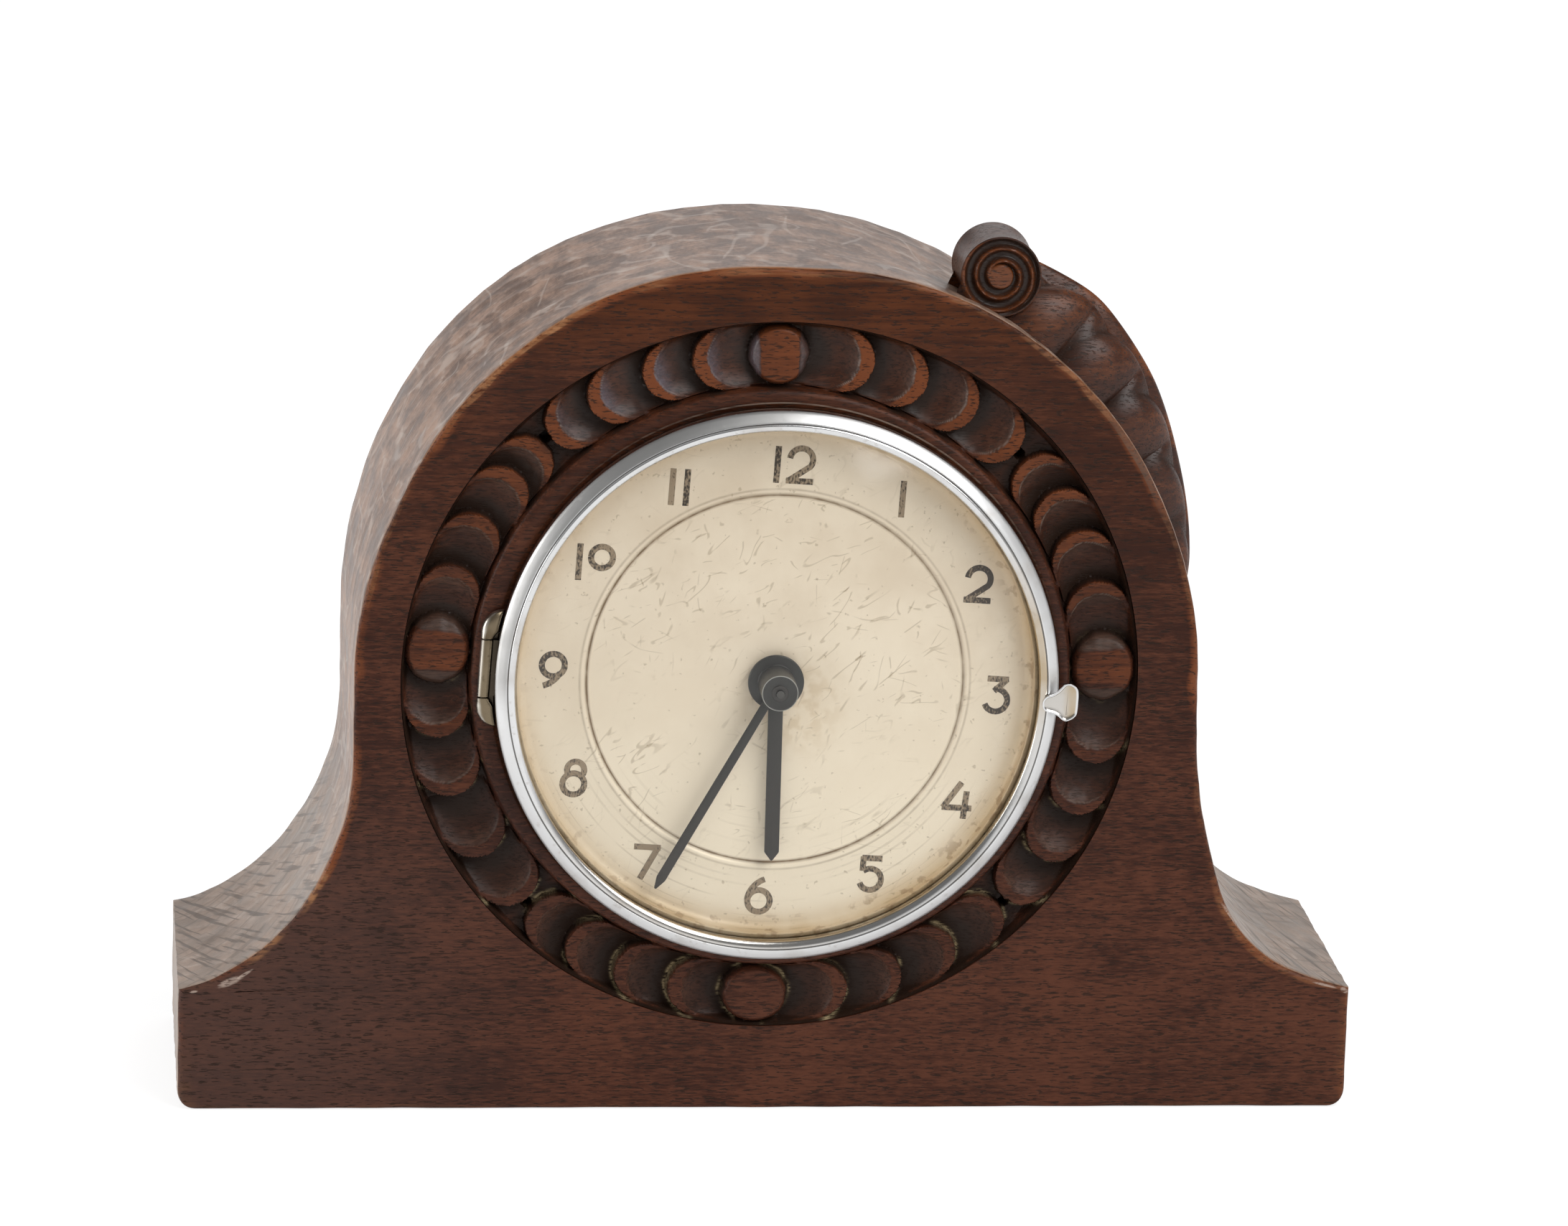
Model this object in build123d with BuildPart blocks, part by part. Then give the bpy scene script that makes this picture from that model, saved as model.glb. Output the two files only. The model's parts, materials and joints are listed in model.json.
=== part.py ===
from build123d import *
import os
from math import acos, atan2, cos, degrees, hypot, pi, radians, sin, sqrt, tan

# Driving sizes of the oak case, in millimetres
base_width = 330.0
case_depth = 92.0
foot_height = 35.0
sweep_top = 100.0
arch_radius = 117.5
dial_height = 123.5
corner_radius = 5.0
edge_round = 1.6
bore_radius = 66.0
back_recess_radius = 74.0
back_recess_depth = 26.0
cover_thickness = 5.0
wood_gap = 0.1

# Carved surround let into the front
surround_radius = 101.2
surround_depth = 12.0
surround_bore = 74.4
lip_radius = 82.4
band_floor = -6.0
scallop_radius = 8.9
scallop_thickness = 7.0
scallop_tilt = 13.0
scallops_per_side = 4
boss_radius = 8.2
boss_top = -0.4
side_boss_lift = 5.0
pierced_hole_radius = 1.4

# Leaf scroll on the right shoulder
leaf_centre_depth = 20.0
leaf_sections = ((62.0, 19.0, 19.0), (50.0, 27.0, 22.0), (38.0, 26.0, 17.0),
                 (28.0, 19.0, 11.0), (19.0, 11.0, 6.5), (12.5, 5.0, 3.0))
volute_angle = 62.0
volute_radius = 11.5
volute_width = 23.0
dowel_radius = 3.0
dowel_angles = (50.0, 35.0)

# Dial, pan and bezel
dial_turn = 3.3
bezel_radius = 78.5
bezel_height = 7.0
bezel_sight = 72.8
flange_thickness = 1.0
flange_radius = 78.2
pan_sheet = 1.0
dial_sheet = 1.0
dial_front = -2.5
dial_gap = 0.1
dial_groove_radius = 53.2
dial_hole = 4.0
foot_circle = 52.0
glass_curve = 190.0
glass_thickness = 2.0
seat_gap = 0.2
pan_screw_circle = 76.2
hinge_turn = 115.0

# Hinge and thumb tab
knuckle_radius = 1.7
hinge_offset = 81.2
hinge_level = 2.6
middle_knuckle = 16.3
end_knuckle = 8.3
knuckle_gap = 0.25
hinge_pin_radius = 0.7
running = 0.05

# Hands, as angles clockwise from the dial's twelve
minute_angle = 206.0
hour_angle = 176.8
minute_length = 67.0
hour_length = 51.2
minute_width = 2.4
hour_width = 4.1
hand_sheet = 0.8
hub_radius = 5.1
hour_flange_radius = 7.8
hub_top = 12.6

# Movement
plate_radius = 62.0
plate_thickness = 2.0
plate_gap = 30.0
motion_space = 7.5
pillar_circle = 55.0
pillar_radius = 4.0
pressure_angle = 25.0
addendum = 0.8
dedendum = 1.05
tooth_share = 0.44
arbor_radius = 1.6
pivot_radius = 0.8
centre_radius = 1.5
barrel_pivot = 2.5
end_shake = 0.3

# Tooth counts and modules of the train
great_teeth, great_module = 78, 0.7
inter_leaves = 12
inter_teeth, inter_module = 72, 0.6
centre_leaves = 12
centre_teeth, centre_module = 80, 0.5
third_leaves = 10
third_teeth, third_module = 75, 0.5
fourth_leaves = 10
fourth_teeth, fourth_module = 80, 0.4
escape_leaves = 10
escape_teeth = 15
escape_radius = 7.5
cannon_leaves = 12
minute_teeth, minute_module = 36, 0.5
minute_leaves = 12
hour_teeth, hour_module = 48, 0.4

# Planes of the dial: x right, y up, z toward the viewer
front = -case_depth / 2
case_plane = Plane(origin=(0, front, 0), x_dir=(1, 0, 0), z_dir=(0, -1, 0))
face_frame = Plane(origin=(0, front, dial_height), x_dir=(1, 0, 0), z_dir=(0, -1, 0))


def clock_plane(angle):
    """The face's plane with its x axis turned by an angle in degrees."""
    return Plane(origin=face_frame.origin, x_dir=(cos(radians(angle)), 0, sin(radians(angle))), z_dir=(0, -1, 0))


dial_frame = clock_plane(-dial_turn)
dial_axis = Axis(dial_frame.origin, dial_frame.z_dir)
section_plane = Plane(origin=dial_frame.origin, x_dir=dial_frame.x_dir, z_dir=-dial_frame.y_dir)
back_frame = Plane(origin=(0, -front, dial_height), x_dir=(-1, 0, 0), z_dir=(0, 1, 0))

# Levels along the dial's axis
pan_back = dial_front - dial_sheet - pan_sheet
plate_front = pan_back - motion_space
plate_inner = plate_front - plate_thickness
back_inner = plate_inner - plate_gap
back_outer = back_inner - plate_thickness
cover_back = -(case_depth - back_recess_depth)
cover_front = cover_back + cover_thickness


def spot(u, v, level=0.0):
    """A plane parallel to the dial at (u, v, level)."""
    return Plane(origin=dial_frame.from_local_coords((u, v, level)),
                 x_dir=dial_frame.x_dir, z_dir=dial_frame.z_dir)


def inside(depth):
    """The level that lies this far behind the front plate's inner face."""
    return plate_inner - depth


def polar(centre, distance, angle):
    """The point at a distance and an angle in degrees from a centre."""
    return (centre[0] + distance * cos(radians(angle)), centre[1] + distance * sin(radians(angle)))


def heading(start, end):
    """The direction from one arbor to another, in radians."""
    return atan2(end[1] - start[1], end[0] - start[0])


def meshed(start, end, teeth, phase, mate_teeth):
    """The phase that puts a mate's gap where the first gear has its tooth."""
    line = heading(start, end)
    pitches = (line - phase) * teeth / (2 * pi)
    return line + pi + (2 * pi / mate_teeth) * (pitches + 0.5)


def involute(angle):
    return tan(angle) - angle


def gear_points(teeth, module, phase):
    """The outline of an involute gear, a few points on each flank."""
    pitch_radius = module * teeth / 2
    base = pitch_radius * cos(radians(pressure_angle))
    tip = pitch_radius + addendum * module
    root = pitch_radius - dedendum * module
    steps = 4
    start = max(base, root)
    radii = [start + (tip - start) * i / (steps - 1) for i in range(steps)]
    half = pi * tooth_share / teeth + involute(radians(pressure_angle))
    flank = [(r, half - involute(acos(min(1.0, base / r)))) for r in radii]
    if root < base:
        flank.insert(0, (root, flank[0][1]))
    points = []
    for i in range(teeth):
        middle = phase + 2 * pi * i / teeth
        points += [(r * cos(middle - a), r * sin(middle - a)) for r, a in flank]
        points += [(r * cos(middle + a), r * sin(middle + a)) for r, a in reversed(flank)]
    return points


def turned(place, steps):
    """Stacked cylinders, each given as radius, low level, high level."""
    with BuildPart() as stack:
        for radius, low, high in steps:
            with BuildSketch(place.offset(low)):
                Circle(radius)
            extrude(amount=high - low)
    return stack.part


def leaved(place, steps, teeth, module, phase, low, high):
    """A turned arbor with a pinion cut on it."""
    with BuildPart() as arbor:
        add(turned(place, steps))
        with BuildSketch(place.offset(low)):
            with BuildLine():
                Polyline(*gear_points(teeth, module, phase), close=True)
            make_face()
        extrude(amount=high - low)
    return arbor.part


def wheel(place, teeth, module, phase, low, high, bore, windows=5):
    """A flat toothed wheel with round windows."""
    root = module * teeth / 2 - dedendum * module
    collet = bore + 2.4
    middle = (collet + root - 1.6) / 2
    window = (root - 1.6 - collet) / 2 * 0.86
    with BuildPart() as blank:
        with BuildSketch(place.offset(low)):
            with BuildLine():
                Polyline(*gear_points(teeth, module, phase), close=True)
            make_face()
            Circle(bore, mode=Mode.SUBTRACT)
            if windows:
                with PolarLocations(middle, windows):
                    Circle(min(window, middle * sin(pi / windows) - 0.8), mode=Mode.SUBTRACT)
        extrude(amount=high - low)
    return blank.part


def wood_screw(head, sink, shank, length):
    """A slotted countersunk screw with its head's top on the plane z = 0."""
    with BuildPart() as screw:
        with BuildSketch(Plane.XZ):
            with BuildLine():
                Polyline((0, 0), (head, 0), (shank, -sink), (shank, -length + 2 * shank),
                         (0, -length), close=True)
            make_face()
        revolve(axis=Axis.Z)
        with Locations((0, 0, 0)):
            Box(3 * head, head * 0.3, sink, mode=Mode.SUBTRACT)
    return screw.part


def spiral(place, inner, outer, turns, strip, low, high):
    """A flat spiral strip made of half circles with two alternating centres."""
    step = (outer - inner) / (2 * turns)
    with BuildPart() as coil:
        with BuildSketch(place.offset(low)):
            with BuildLine():
                for edge in (-strip / 2, strip / 2):
                    for i in range(2 * turns):
                        centre = (0, 0) if i % 2 == 0 else (step, 0)
                        CenterArc(centre, inner + step * i + edge, 180 * (i % 2), 180)
                Line((inner - strip / 2, 0), (inner + strip / 2, 0))
                end = inner + step * 2 * turns
                Line((end - strip / 2, 0), (end + strip / 2, 0))
            make_face()
        extrude(amount=high - low)
    return coil.part


# Positions of the arbors on the plates, with the centre arbor at the origin
centre_at = (0.0, 0.0)
barrel_distance = great_module * (great_teeth + inter_leaves) / 2
inter_distance = inter_module * (inter_teeth + centre_leaves) / 2
third_distance = centre_module * (centre_teeth + third_leaves) / 2
fourth_distance = third_module * (third_teeth + fourth_leaves) / 2
escape_distance = fourth_module * (fourth_teeth + escape_leaves) / 2
motion_distance = minute_module * (minute_teeth + cannon_leaves) / 2
barrel_drop = great_module * (great_teeth / 2 + addendum) + centre_radius + 2.6
barrel_at = (0.0, -barrel_drop)
inter_drop = (barrel_drop**2 + inter_distance**2 - barrel_distance**2) / (2 * barrel_drop)
inter_at = (-sqrt(inter_distance**2 - inter_drop**2), -inter_drop)
third_at = polar(centre_at, third_distance, 30)
fourth_at = polar(third_at, fourth_distance, 110)
escape_at = polar(fourth_at, escape_distance, 180)
pallet_distance = escape_radius + 2.1
pallet_at = polar(escape_at, pallet_distance, 180)
balance_distance = 12.0
balance_at = polar(pallet_at, balance_distance, 200)
motion_at = polar(centre_at, motion_distance, 60)

# Phases of the gears, from the centre outward
centre_pinion_phase = 0.0
inter_wheel_phase = meshed(centre_at, inter_at, centre_leaves, centre_pinion_phase, inter_teeth)
inter_pinion_phase = 0.0
great_phase = meshed(inter_at, barrel_at, inter_leaves, inter_pinion_phase, great_teeth)
centre_wheel_phase = 0.0
third_pinion_phase = meshed(centre_at, third_at, centre_teeth, centre_wheel_phase, third_leaves)
third_wheel_phase = 0.0
fourth_pinion_phase = meshed(third_at, fourth_at, third_teeth, third_wheel_phase, fourth_leaves)
fourth_wheel_phase = 0.0
escape_pinion_phase = meshed(fourth_at, escape_at, fourth_teeth, fourth_wheel_phase, escape_leaves)
cannon_phase = 0.0
minute_wheel_phase = meshed(centre_at, motion_at, cannon_leaves, cannon_phase, minute_teeth)
minute_pinion_phase = 0.0
hour_phase = meshed(motion_at, centre_at, minute_leaves, minute_pinion_phase, hour_teeth)

# Case body: arched block with swept feet, bored through
half_base = base_width / 2
with BuildPart() as case_body:
    with BuildSketch(case_plane) as outline:
        with BuildLine():
            Line((half_base, 0), (half_base, foot_height))
            TangentArc((arch_radius, sweep_top), (half_base, foot_height), tangent=(0, -1))
            Line((arch_radius, sweep_top), (arch_radius, dial_height))
            CenterArc((0, dial_height), arch_radius, 0, 90)
            mirror(about=Plane.YZ)
            Line((-half_base, 0), (half_base, 0))
        make_face()
        fillet(outline.vertices().group_by(Axis.Y)[0], corner_radius)
    extrude(amount=-case_depth)
    rims = case_body.faces().sort_by(Axis.Y)[0].outer_wire().edges()
    rims += case_body.faces().sort_by(Axis.Y)[-1].outer_wire().edges()
    fillet(rims, edge_round)
    with Locations(face_frame):
        CounterBoreHole(bore_radius, surround_radius + wood_gap, surround_depth)
    with Locations(back_frame):
        Hole(back_recess_radius, back_recess_depth + cover_thickness)
    with Locations(back_frame.offset(-back_recess_depth - cover_thickness)):
        with PolarLocations((bore_radius + back_recess_radius) / 2, 4, 45):
            Hole(1.35, 14)
    for angle in dowel_angles:
        place = Plane(origin=(arch_radius * cos(radians(angle)), front + leaf_centre_depth,
                              dial_height + arch_radius * sin(radians(angle))),
                      x_dir=(0, 1, 0), z_dir=(cos(radians(angle)), 0, sin(radians(angle))))
        with Locations(place):
            Hole(dowel_radius + running, 12.0)

# One scallop of the carving: a tilted disc with a hollow, rising along +y
hollow_radius = scallop_radius * 0.78
hollow_depth = 1.5
hollow_sphere = (hollow_radius**2 + hollow_depth**2) / (2 * hollow_depth)
with BuildPart() as scallop:
    with BuildSketch():
        Circle(scallop_radius)
    extrude(amount=-scallop_thickness)
    with Locations((0, -scallop_radius * 0.2, hollow_sphere - hollow_depth)):
        Sphere(hollow_sphere, mode=Mode.SUBTRACT)

# One round boss of the carving
with BuildPart() as boss:
    with BuildSketch():
        Circle(boss_radius)
    extrude(amount=boss_top - band_floor + 1)
    fillet(boss.edges().sort_by(Axis.Z)[-1], 2.2)

# Places of the scallops, which climb away from each boss to the pierced holes
band_middle = (lip_radius + surround_radius) / 2
boss_angles = (90.0, side_boss_lift, -90.0, 180.0 - side_boss_lift)
hole_angles = (45.0, -45.0, -135.0, 135.0)
edge_angle = degrees(scallop_radius / band_middle)
scallop_places = []
for start, end in ((90, 45), (side_boss_lift, 45), (side_boss_lift, -45), (-90, -45),
                   (-90, -135), (-180 - side_boss_lift, -135), (180 - side_boss_lift, 135), (90, 135)):
    way = 1 if end > start else -1
    begin = start + way * degrees(boss_radius / band_middle)
    span = end - way * 0.5 - begin
    for i in range(scallops_per_side):
        at = radians(begin + span * (i + 1) / scallops_per_side - way * edge_angle)
        out = face_frame.x_dir * cos(at) + face_frame.y_dir * sin(at)
        along = (face_frame.y_dir * cos(at) - face_frame.x_dir * sin(at)) * way
        tilt = radians(scallop_tilt)
        normal = face_frame.z_dir * cos(tilt) - along * sin(tilt)
        rise = along * cos(tilt) + face_frame.z_dir * sin(tilt)
        level = -0.5 - scallop_radius * sin(tilt)
        middle = face_frame.from_local_coords((band_middle * cos(at), band_middle * sin(at), level))
        scallop_places.append(Location(Plane(origin=middle, x_dir=rise.cross(normal), z_dir=normal)))

# Carved surround: plain lip, sunk band, scallops and bosses
with BuildPart() as carved_surround:
    with BuildSketch(Plane(origin=face_frame.origin, x_dir=face_frame.x_dir, z_dir=-face_frame.y_dir)):
        with BuildLine():
            Polyline((surround_bore, -surround_depth), (surround_radius, -surround_depth),
                     (surround_radius, band_floor), (lip_radius, band_floor), (lip_radius, -0.8),
                     (lip_radius - 0.8, 0), (surround_bore, 0), close=True)
        make_face()
    revolve(axis=Axis(face_frame.origin, face_frame.z_dir))
    with Locations(*scallop_places):
        add(scallop.part)
    with Locations(*[Location(Plane(
            origin=face_frame.from_local_coords((band_middle * cos(radians(a)),
                                                 band_middle * sin(radians(a)), band_floor - 1)),
            x_dir=(1, 0, 0), z_dir=face_frame.z_dir)) for a in boss_angles]):
        add(boss.part)
    with Locations(face_frame):
        with Locations(*[polar((0, 0), band_middle, a) for a in hole_angles]):
            Hole(pierced_hole_radius, surround_depth - 2)
    with Locations(dial_frame):
        with PolarLocations(pan_screw_circle, 4, 45):
            Hole(0.9 + running, 9.5)

# Leaf scroll seated on the arch
with BuildPart() as shoulder_leaf:
    for angle, width, height in leaf_sections:
        a = radians(angle)
        place = Plane(origin=(arch_radius * cos(a), front + leaf_centre_depth,
                              dial_height + arch_radius * sin(a)),
                      x_dir=(0, 1, 0), z_dir=(sin(a), 0, -cos(a)))
        shoulder = height - 0.35 * width
        with BuildSketch(place):
            with BuildLine():
                Polyline((-width / 2, shoulder), (-width / 2, -2), (width / 2, -2), (width / 2, shoulder))
                ThreePointArc((-width / 2, shoulder), (0, height), (width / 2, shoulder))
            make_face()
    loft()
    a = radians(volute_angle)
    reach = arch_radius + volute_radius - 0.6
    curl = Plane(origin=(reach * cos(a), front + leaf_centre_depth, dial_height + reach * sin(a)),
                 x_dir=(1, 0, 0), z_dir=(0, -1, 0))
    with BuildSketch(curl):
        Circle(volute_radius)
    extrude(amount=volute_width / 2, both=True)
    with BuildSketch(curl):
        Circle(volute_radius * 0.3)
    extrude(amount=volute_width / 2 + 1.5, both=True)
    with Locations(Location((0, 0, dial_height), (90, 0, 0))):
        Cylinder(arch_radius + wood_gap, 2 * case_depth, mode=Mode.SUBTRACT)
    for angle in dowel_angles:
        d = radians(angle)
        place = Plane(origin=(arch_radius * cos(d), front + leaf_centre_depth,
                              dial_height + arch_radius * sin(d)),
                      x_dir=(0, 1, 0), z_dir=(-cos(d), 0, -sin(d)))
        with Locations(place):
            Hole(dowel_radius + running, 8.0)

# Dowels that hold the leaf
with BuildPart() as leaf_dowels:
    for angle in dowel_angles:
        d = radians(angle)
        place = Plane(origin=(arch_radius * cos(d), front + leaf_centre_depth,
                              dial_height + arch_radius * sin(d)),
                      x_dir=(0, 1, 0), z_dir=(cos(d), 0, sin(d)))
        with BuildSketch(place.offset(-11.9)):
            Circle(dowel_radius)
        extrude(amount=11.9 + 7.8)

# Back cover, a turned oak disc on the shoulder of the back recess
with BuildPart() as back_cover:
    with BuildSketch(face_frame.offset(cover_back)):
        Circle(back_recess_radius - 3 * wood_gap)
    extrude(amount=cover_thickness)
    chamfer(back_cover.edges().sort_by(Axis.Y)[-1], 0.8)
    with Locations(back_frame.offset(-back_recess_depth)):
        with PolarLocations((bore_radius + back_recess_radius) / 2, 4, 45):
            CounterSinkHole(1.35, 2.7, cover_thickness + 1)
    with Locations(spot(*centre_at, cover_front)):
        Hole(centre_radius + 1.0, 2 * cover_thickness)
    with Locations(spot(*barrel_at, cover_front)):
        Hole(barrel_pivot + 1.0, 2 * cover_thickness)

with BuildPart() as back_cover_screws:
    with Locations(back_frame.offset(-back_recess_depth)):
        with PolarLocations((bore_radius + back_recess_radius) / 2, 4, 45):
            add(wood_screw(2.6, 1.5, 1.3, 16.0))

# Dial pan: flange, skirt and floor, spun in one piece
with BuildPart() as dial_pan:
    skirt = surround_bore - 0.3
    with BuildSketch(section_plane):
        with BuildLine():
            Polyline((40, pan_back), (skirt, pan_back), (skirt, 0), (flange_radius, 0),
                     (flange_radius, flange_thickness), (skirt - pan_sheet, flange_thickness),
                     (skirt - pan_sheet, pan_back + pan_sheet), (40, pan_back + pan_sheet), close=True)
        make_face()
    revolve(axis=dial_axis)
    with Locations(dial_frame.offset(flange_thickness)):
        with PolarLocations(pan_screw_circle, 4, 45):
            CounterSinkHole(0.9 + running, 1.7, 10)
    with Locations(dial_frame.offset(pan_back + pan_sheet)):
        with PolarLocations(foot_circle, 3, 0, 180, endpoint=True):
            Hole(1.5 + running, 3)

with BuildPart() as dial_pan_screws:
    with Locations(dial_frame.offset(flange_thickness)):
        with PolarLocations(pan_screw_circle, 4, 45):
            add(wood_screw(1.65, 0.86, 0.9, 9.5))

# Dial: a dished plate with an engraved ring and an upturned edge
with BuildPart() as dial_plate:
    rim = skirt - pan_sheet - dial_gap
    bend = 2.6
    low = dial_front - dial_sheet
    with BuildSketch(section_plane):
        with BuildLine():
            Polyline((dial_hole, low), (rim - bend - dial_sheet, low))
            RadiusArc((rim - bend - dial_sheet, low), (rim, low + bend + dial_sheet), -(bend + dial_sheet))
            Polyline((rim, low + bend + dial_sheet), (rim, flange_thickness), (rim - dial_sheet, flange_thickness),
                     (rim - dial_sheet, dial_front + bend))
            RadiusArc((rim - dial_sheet, dial_front + bend), (rim - dial_sheet - bend, dial_front), bend)
            Polyline((rim - dial_sheet - bend, dial_front), (dial_groove_radius + 0.4, dial_front),
                     (dial_groove_radius, dial_front - 0.25), (dial_groove_radius - 0.4, dial_front),
                     (dial_hole, dial_front), (dial_hole, low))
        make_face()
    revolve(axis=dial_axis)

# Dial feet, which clamp dial, pan and front plate together
with BuildPart() as dial_feet:
    with Locations(dial_frame):
        with PolarLocations(foot_circle, 3, 0, 180, endpoint=True):
            add(turned(Plane.XY, ((3.0, plate_front, pan_back), (1.5, pan_back, dial_front - dial_sheet),
                                  (1.5, plate_inner - 3.4, plate_front))))

with BuildPart() as dial_foot_nuts:
    with BuildSketch(dial_frame.offset(plate_inner - 2.4)):
        with PolarLocations(foot_circle, 3, 0, 180, endpoint=True):
            RegularPolygon(3.2, 6)
            Circle(1.5 + running, mode=Mode.SUBTRACT)
    extrude(amount=2.4)

# Bezel: bevelled ring with a groove, an inner band and a glass seat
bezel_back = flange_thickness + seat_gap
bezel_top = bezel_back + bezel_height
glass_seat = bezel_top - 2.6
channel = bezel_radius - 2.3
with BuildPart() as bezel_ring:
    with BuildSketch(section_plane):
        with BuildLine():
            Polyline((channel, bezel_back), (bezel_radius, bezel_back), (bezel_radius, bezel_back + 3.2),
                     (bezel_radius - 0.5, bezel_back + 4.2), (bezel_radius - 3.2, bezel_top - 0.2),
                     (bezel_radius - 3.5, bezel_top - 0.6), (bezel_radius - 3.8, bezel_top),
                     (bezel_sight + 0.6, bezel_top - 0.7), (bezel_sight, bezel_top - 1.4),
                     (bezel_sight, glass_seat), (channel, glass_seat), close=True)
        make_face()
    revolve(axis=dial_axis)

# Domed glass under the bezel's inner lip
glass_edge = channel - 0.25
inner_curve = glass_curve - glass_thickness
glass_centre = glass_seat - 0.05 - sqrt(glass_curve**2 - bezel_sight**2)
with BuildPart() as dial_glass:
    with BuildSketch(section_plane):
        with BuildLine():
            outer_edge = (glass_edge, glass_centre + sqrt(glass_curve**2 - glass_edge**2))
            inner_edge = (glass_edge, glass_centre + sqrt(inner_curve**2 - glass_edge**2))
            RadiusArc((0, glass_centre + glass_curve), outer_edge, glass_curve)
            Line(outer_edge, inner_edge)
            RadiusArc(inner_edge, (0, glass_centre + inner_curve), -inner_curve)
            Line((0, glass_centre + inner_curve), (0, glass_centre + glass_curve))
        make_face()
    revolve(axis=dial_axis)

# Split spring ring that holds the glass
with BuildPart() as glass_retainer:
    with BuildSketch(section_plane):
        with BuildLine():
            Polyline((channel - 2.6, bezel_back + 0.1), (channel - 0.1, bezel_back + 0.1),
                     (channel - 0.1, inner_edge[1] - 0.05), (channel - 2.6, inner_edge[1] - 0.05), close=True)
        make_face()
    revolve(axis=dial_axis, revolution_arc=352)

# Fixed half of the hinge: a plate on the lip with two end knuckles
hinge_half = middle_knuckle / 2 + knuckle_gap
hinge_end = hinge_half + end_knuckle
with BuildPart() as end_piece:
    with BuildSketch():
        Circle(knuckle_radius)
    extrude(amount=end_knuckle)
    fillet(end_piece.edges().sort_by(Axis.Z)[-1], 1.0)

with BuildPart() as hinge_leaf_case:
    with BuildSketch(spot(-hinge_offset, 0, 0)):
        with Locations(((hinge_offset - flange_radius) / 2, 0)):
            Rectangle(hinge_offset - flange_radius + 2 * knuckle_radius, 2 * hinge_end)
    extrude(amount=hinge_level - knuckle_radius - 0.15)
    with BuildSketch(spot(-hinge_offset, 0, 0)):
        with Locations((0, hinge_half + end_knuckle / 2), (0, -hinge_half - end_knuckle / 2)):
            Rectangle(2 * knuckle_radius * 0.8, end_knuckle)
    extrude(amount=hinge_level)
    upper = Plane(origin=dial_frame.from_local_coords((-hinge_offset, hinge_half, hinge_level)),
                  x_dir=dial_frame.x_dir, z_dir=dial_frame.y_dir)
    lower = Plane(origin=dial_frame.from_local_coords((-hinge_offset, -hinge_half, hinge_level)),
                  x_dir=dial_frame.x_dir, z_dir=-dial_frame.y_dir)
    with Locations(Location(upper), Location(lower)):
        add(end_piece.part)
    with BuildSketch(dial_frame):
        Circle(flange_radius + 0.02)
    extrude(amount=hinge_level + knuckle_radius, mode=Mode.SUBTRACT)
    with BuildSketch(upper.offset(-hinge_half)):
        Circle(hinge_pin_radius)
    extrude(amount=2 * hinge_end, both=True, mode=Mode.SUBTRACT)

# Moving half of the hinge: the middle knuckle and its strap to the bezel
with BuildPart() as hinge_leaf_bezel:
    with BuildSketch(upper.offset(-hinge_half)):
        Circle(knuckle_radius)
    extrude(amount=middle_knuckle / 2, both=True)
    with BuildSketch(spot(-hinge_offset, 0, hinge_level - 0.6)):
        with Locations(((hinge_offset - bezel_radius + 2) / 2, 0)):
            Rectangle(hinge_offset - bezel_radius + 2, middle_knuckle)
    extrude(amount=1.2)
    with BuildSketch(dial_frame):
        Circle(bezel_radius + 0.01)
    extrude(amount=hinge_level + knuckle_radius, mode=Mode.SUBTRACT)
    with BuildSketch(upper.offset(-hinge_half)):
        Circle(hinge_pin_radius + running)
    extrude(amount=middle_knuckle, both=True, mode=Mode.SUBTRACT)

with BuildPart() as hinge_pin:
    with BuildSketch(upper.offset(-hinge_half)):
        Circle(hinge_pin_radius)
    extrude(amount=hinge_end - 0.2, both=True)

# Thumb tab soldered on the bezel's face at the catch side
tab_in = bezel_sight + 0.7
tab_out = bezel_radius + 5.1
with BuildPart() as thumb_tab:
    with BuildSketch(dial_frame.offset(bezel_top)) as tab_shape:
        with Locations((tab_in + 2.6, 0)):
            Circle(2.6)
        with Locations(((tab_in + 2.6 + tab_out - 2) / 2, 0)):
            Rectangle(tab_out - 2 - tab_in - 2.6, 5.2)
        with BuildLine():
            Polyline((bezel_radius - 1.0, -2.6), (bezel_radius + 1.8, -5.2), (tab_out - 1.2, -5.4),
                     (tab_out, -3.6), (tab_out, 3.6), (tab_out - 1.2, 5.4), (bezel_radius + 1.8, 5.2),
                     (bezel_radius - 1.0, 2.6), close=True)
        make_face()
    extrude(amount=1.0)

# Hour hand with its flange and collar
hour_level = 0.4
minute_level = 3.4
hour_pipe_out = 3.2
hour_pipe_in = 2.3
cannon_out = 2.2
hour_plane = clock_plane(90 - hour_angle - dial_turn)
minute_plane = clock_plane(90 - minute_angle - dial_turn)
with BuildPart() as hour_hand:
    add(turned(dial_frame, ((hour_flange_radius, hour_level - 1.0, hour_level),
                            (hub_radius - 0.1, hour_level, minute_level - 0.7))))
    with BuildSketch(hour_plane.offset(hour_level)):
        with BuildLine():
            Polyline((0, -hour_width / 2), (hour_length - 2.6, -hour_width / 2), (hour_length, 0),
                     (hour_length - 2.6, hour_width / 2), (0, hour_width / 2), close=True)
        make_face()
    extrude(amount=hand_sheet)
    with Locations(dial_frame.offset(minute_level)):
        Hole(hour_pipe_out)

# Minute hand with its tall hub
with BuildPart() as minute_hand:
    add(turned(dial_frame, ((hub_radius, minute_level - 0.4, hub_top),)))
    with BuildSketch(minute_plane.offset(minute_level)):
        with BuildLine():
            Polyline((0, -minute_width / 2), (minute_length - 3.4, -minute_width * 0.56), (minute_length, 0),
                     (minute_length - 3.4, minute_width * 0.56), (0, minute_width / 2), close=True)
        make_face()
    extrude(amount=hand_sheet)
    with Locations(dial_frame.offset(hub_top)):
        Hole(centre_radius)

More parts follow.
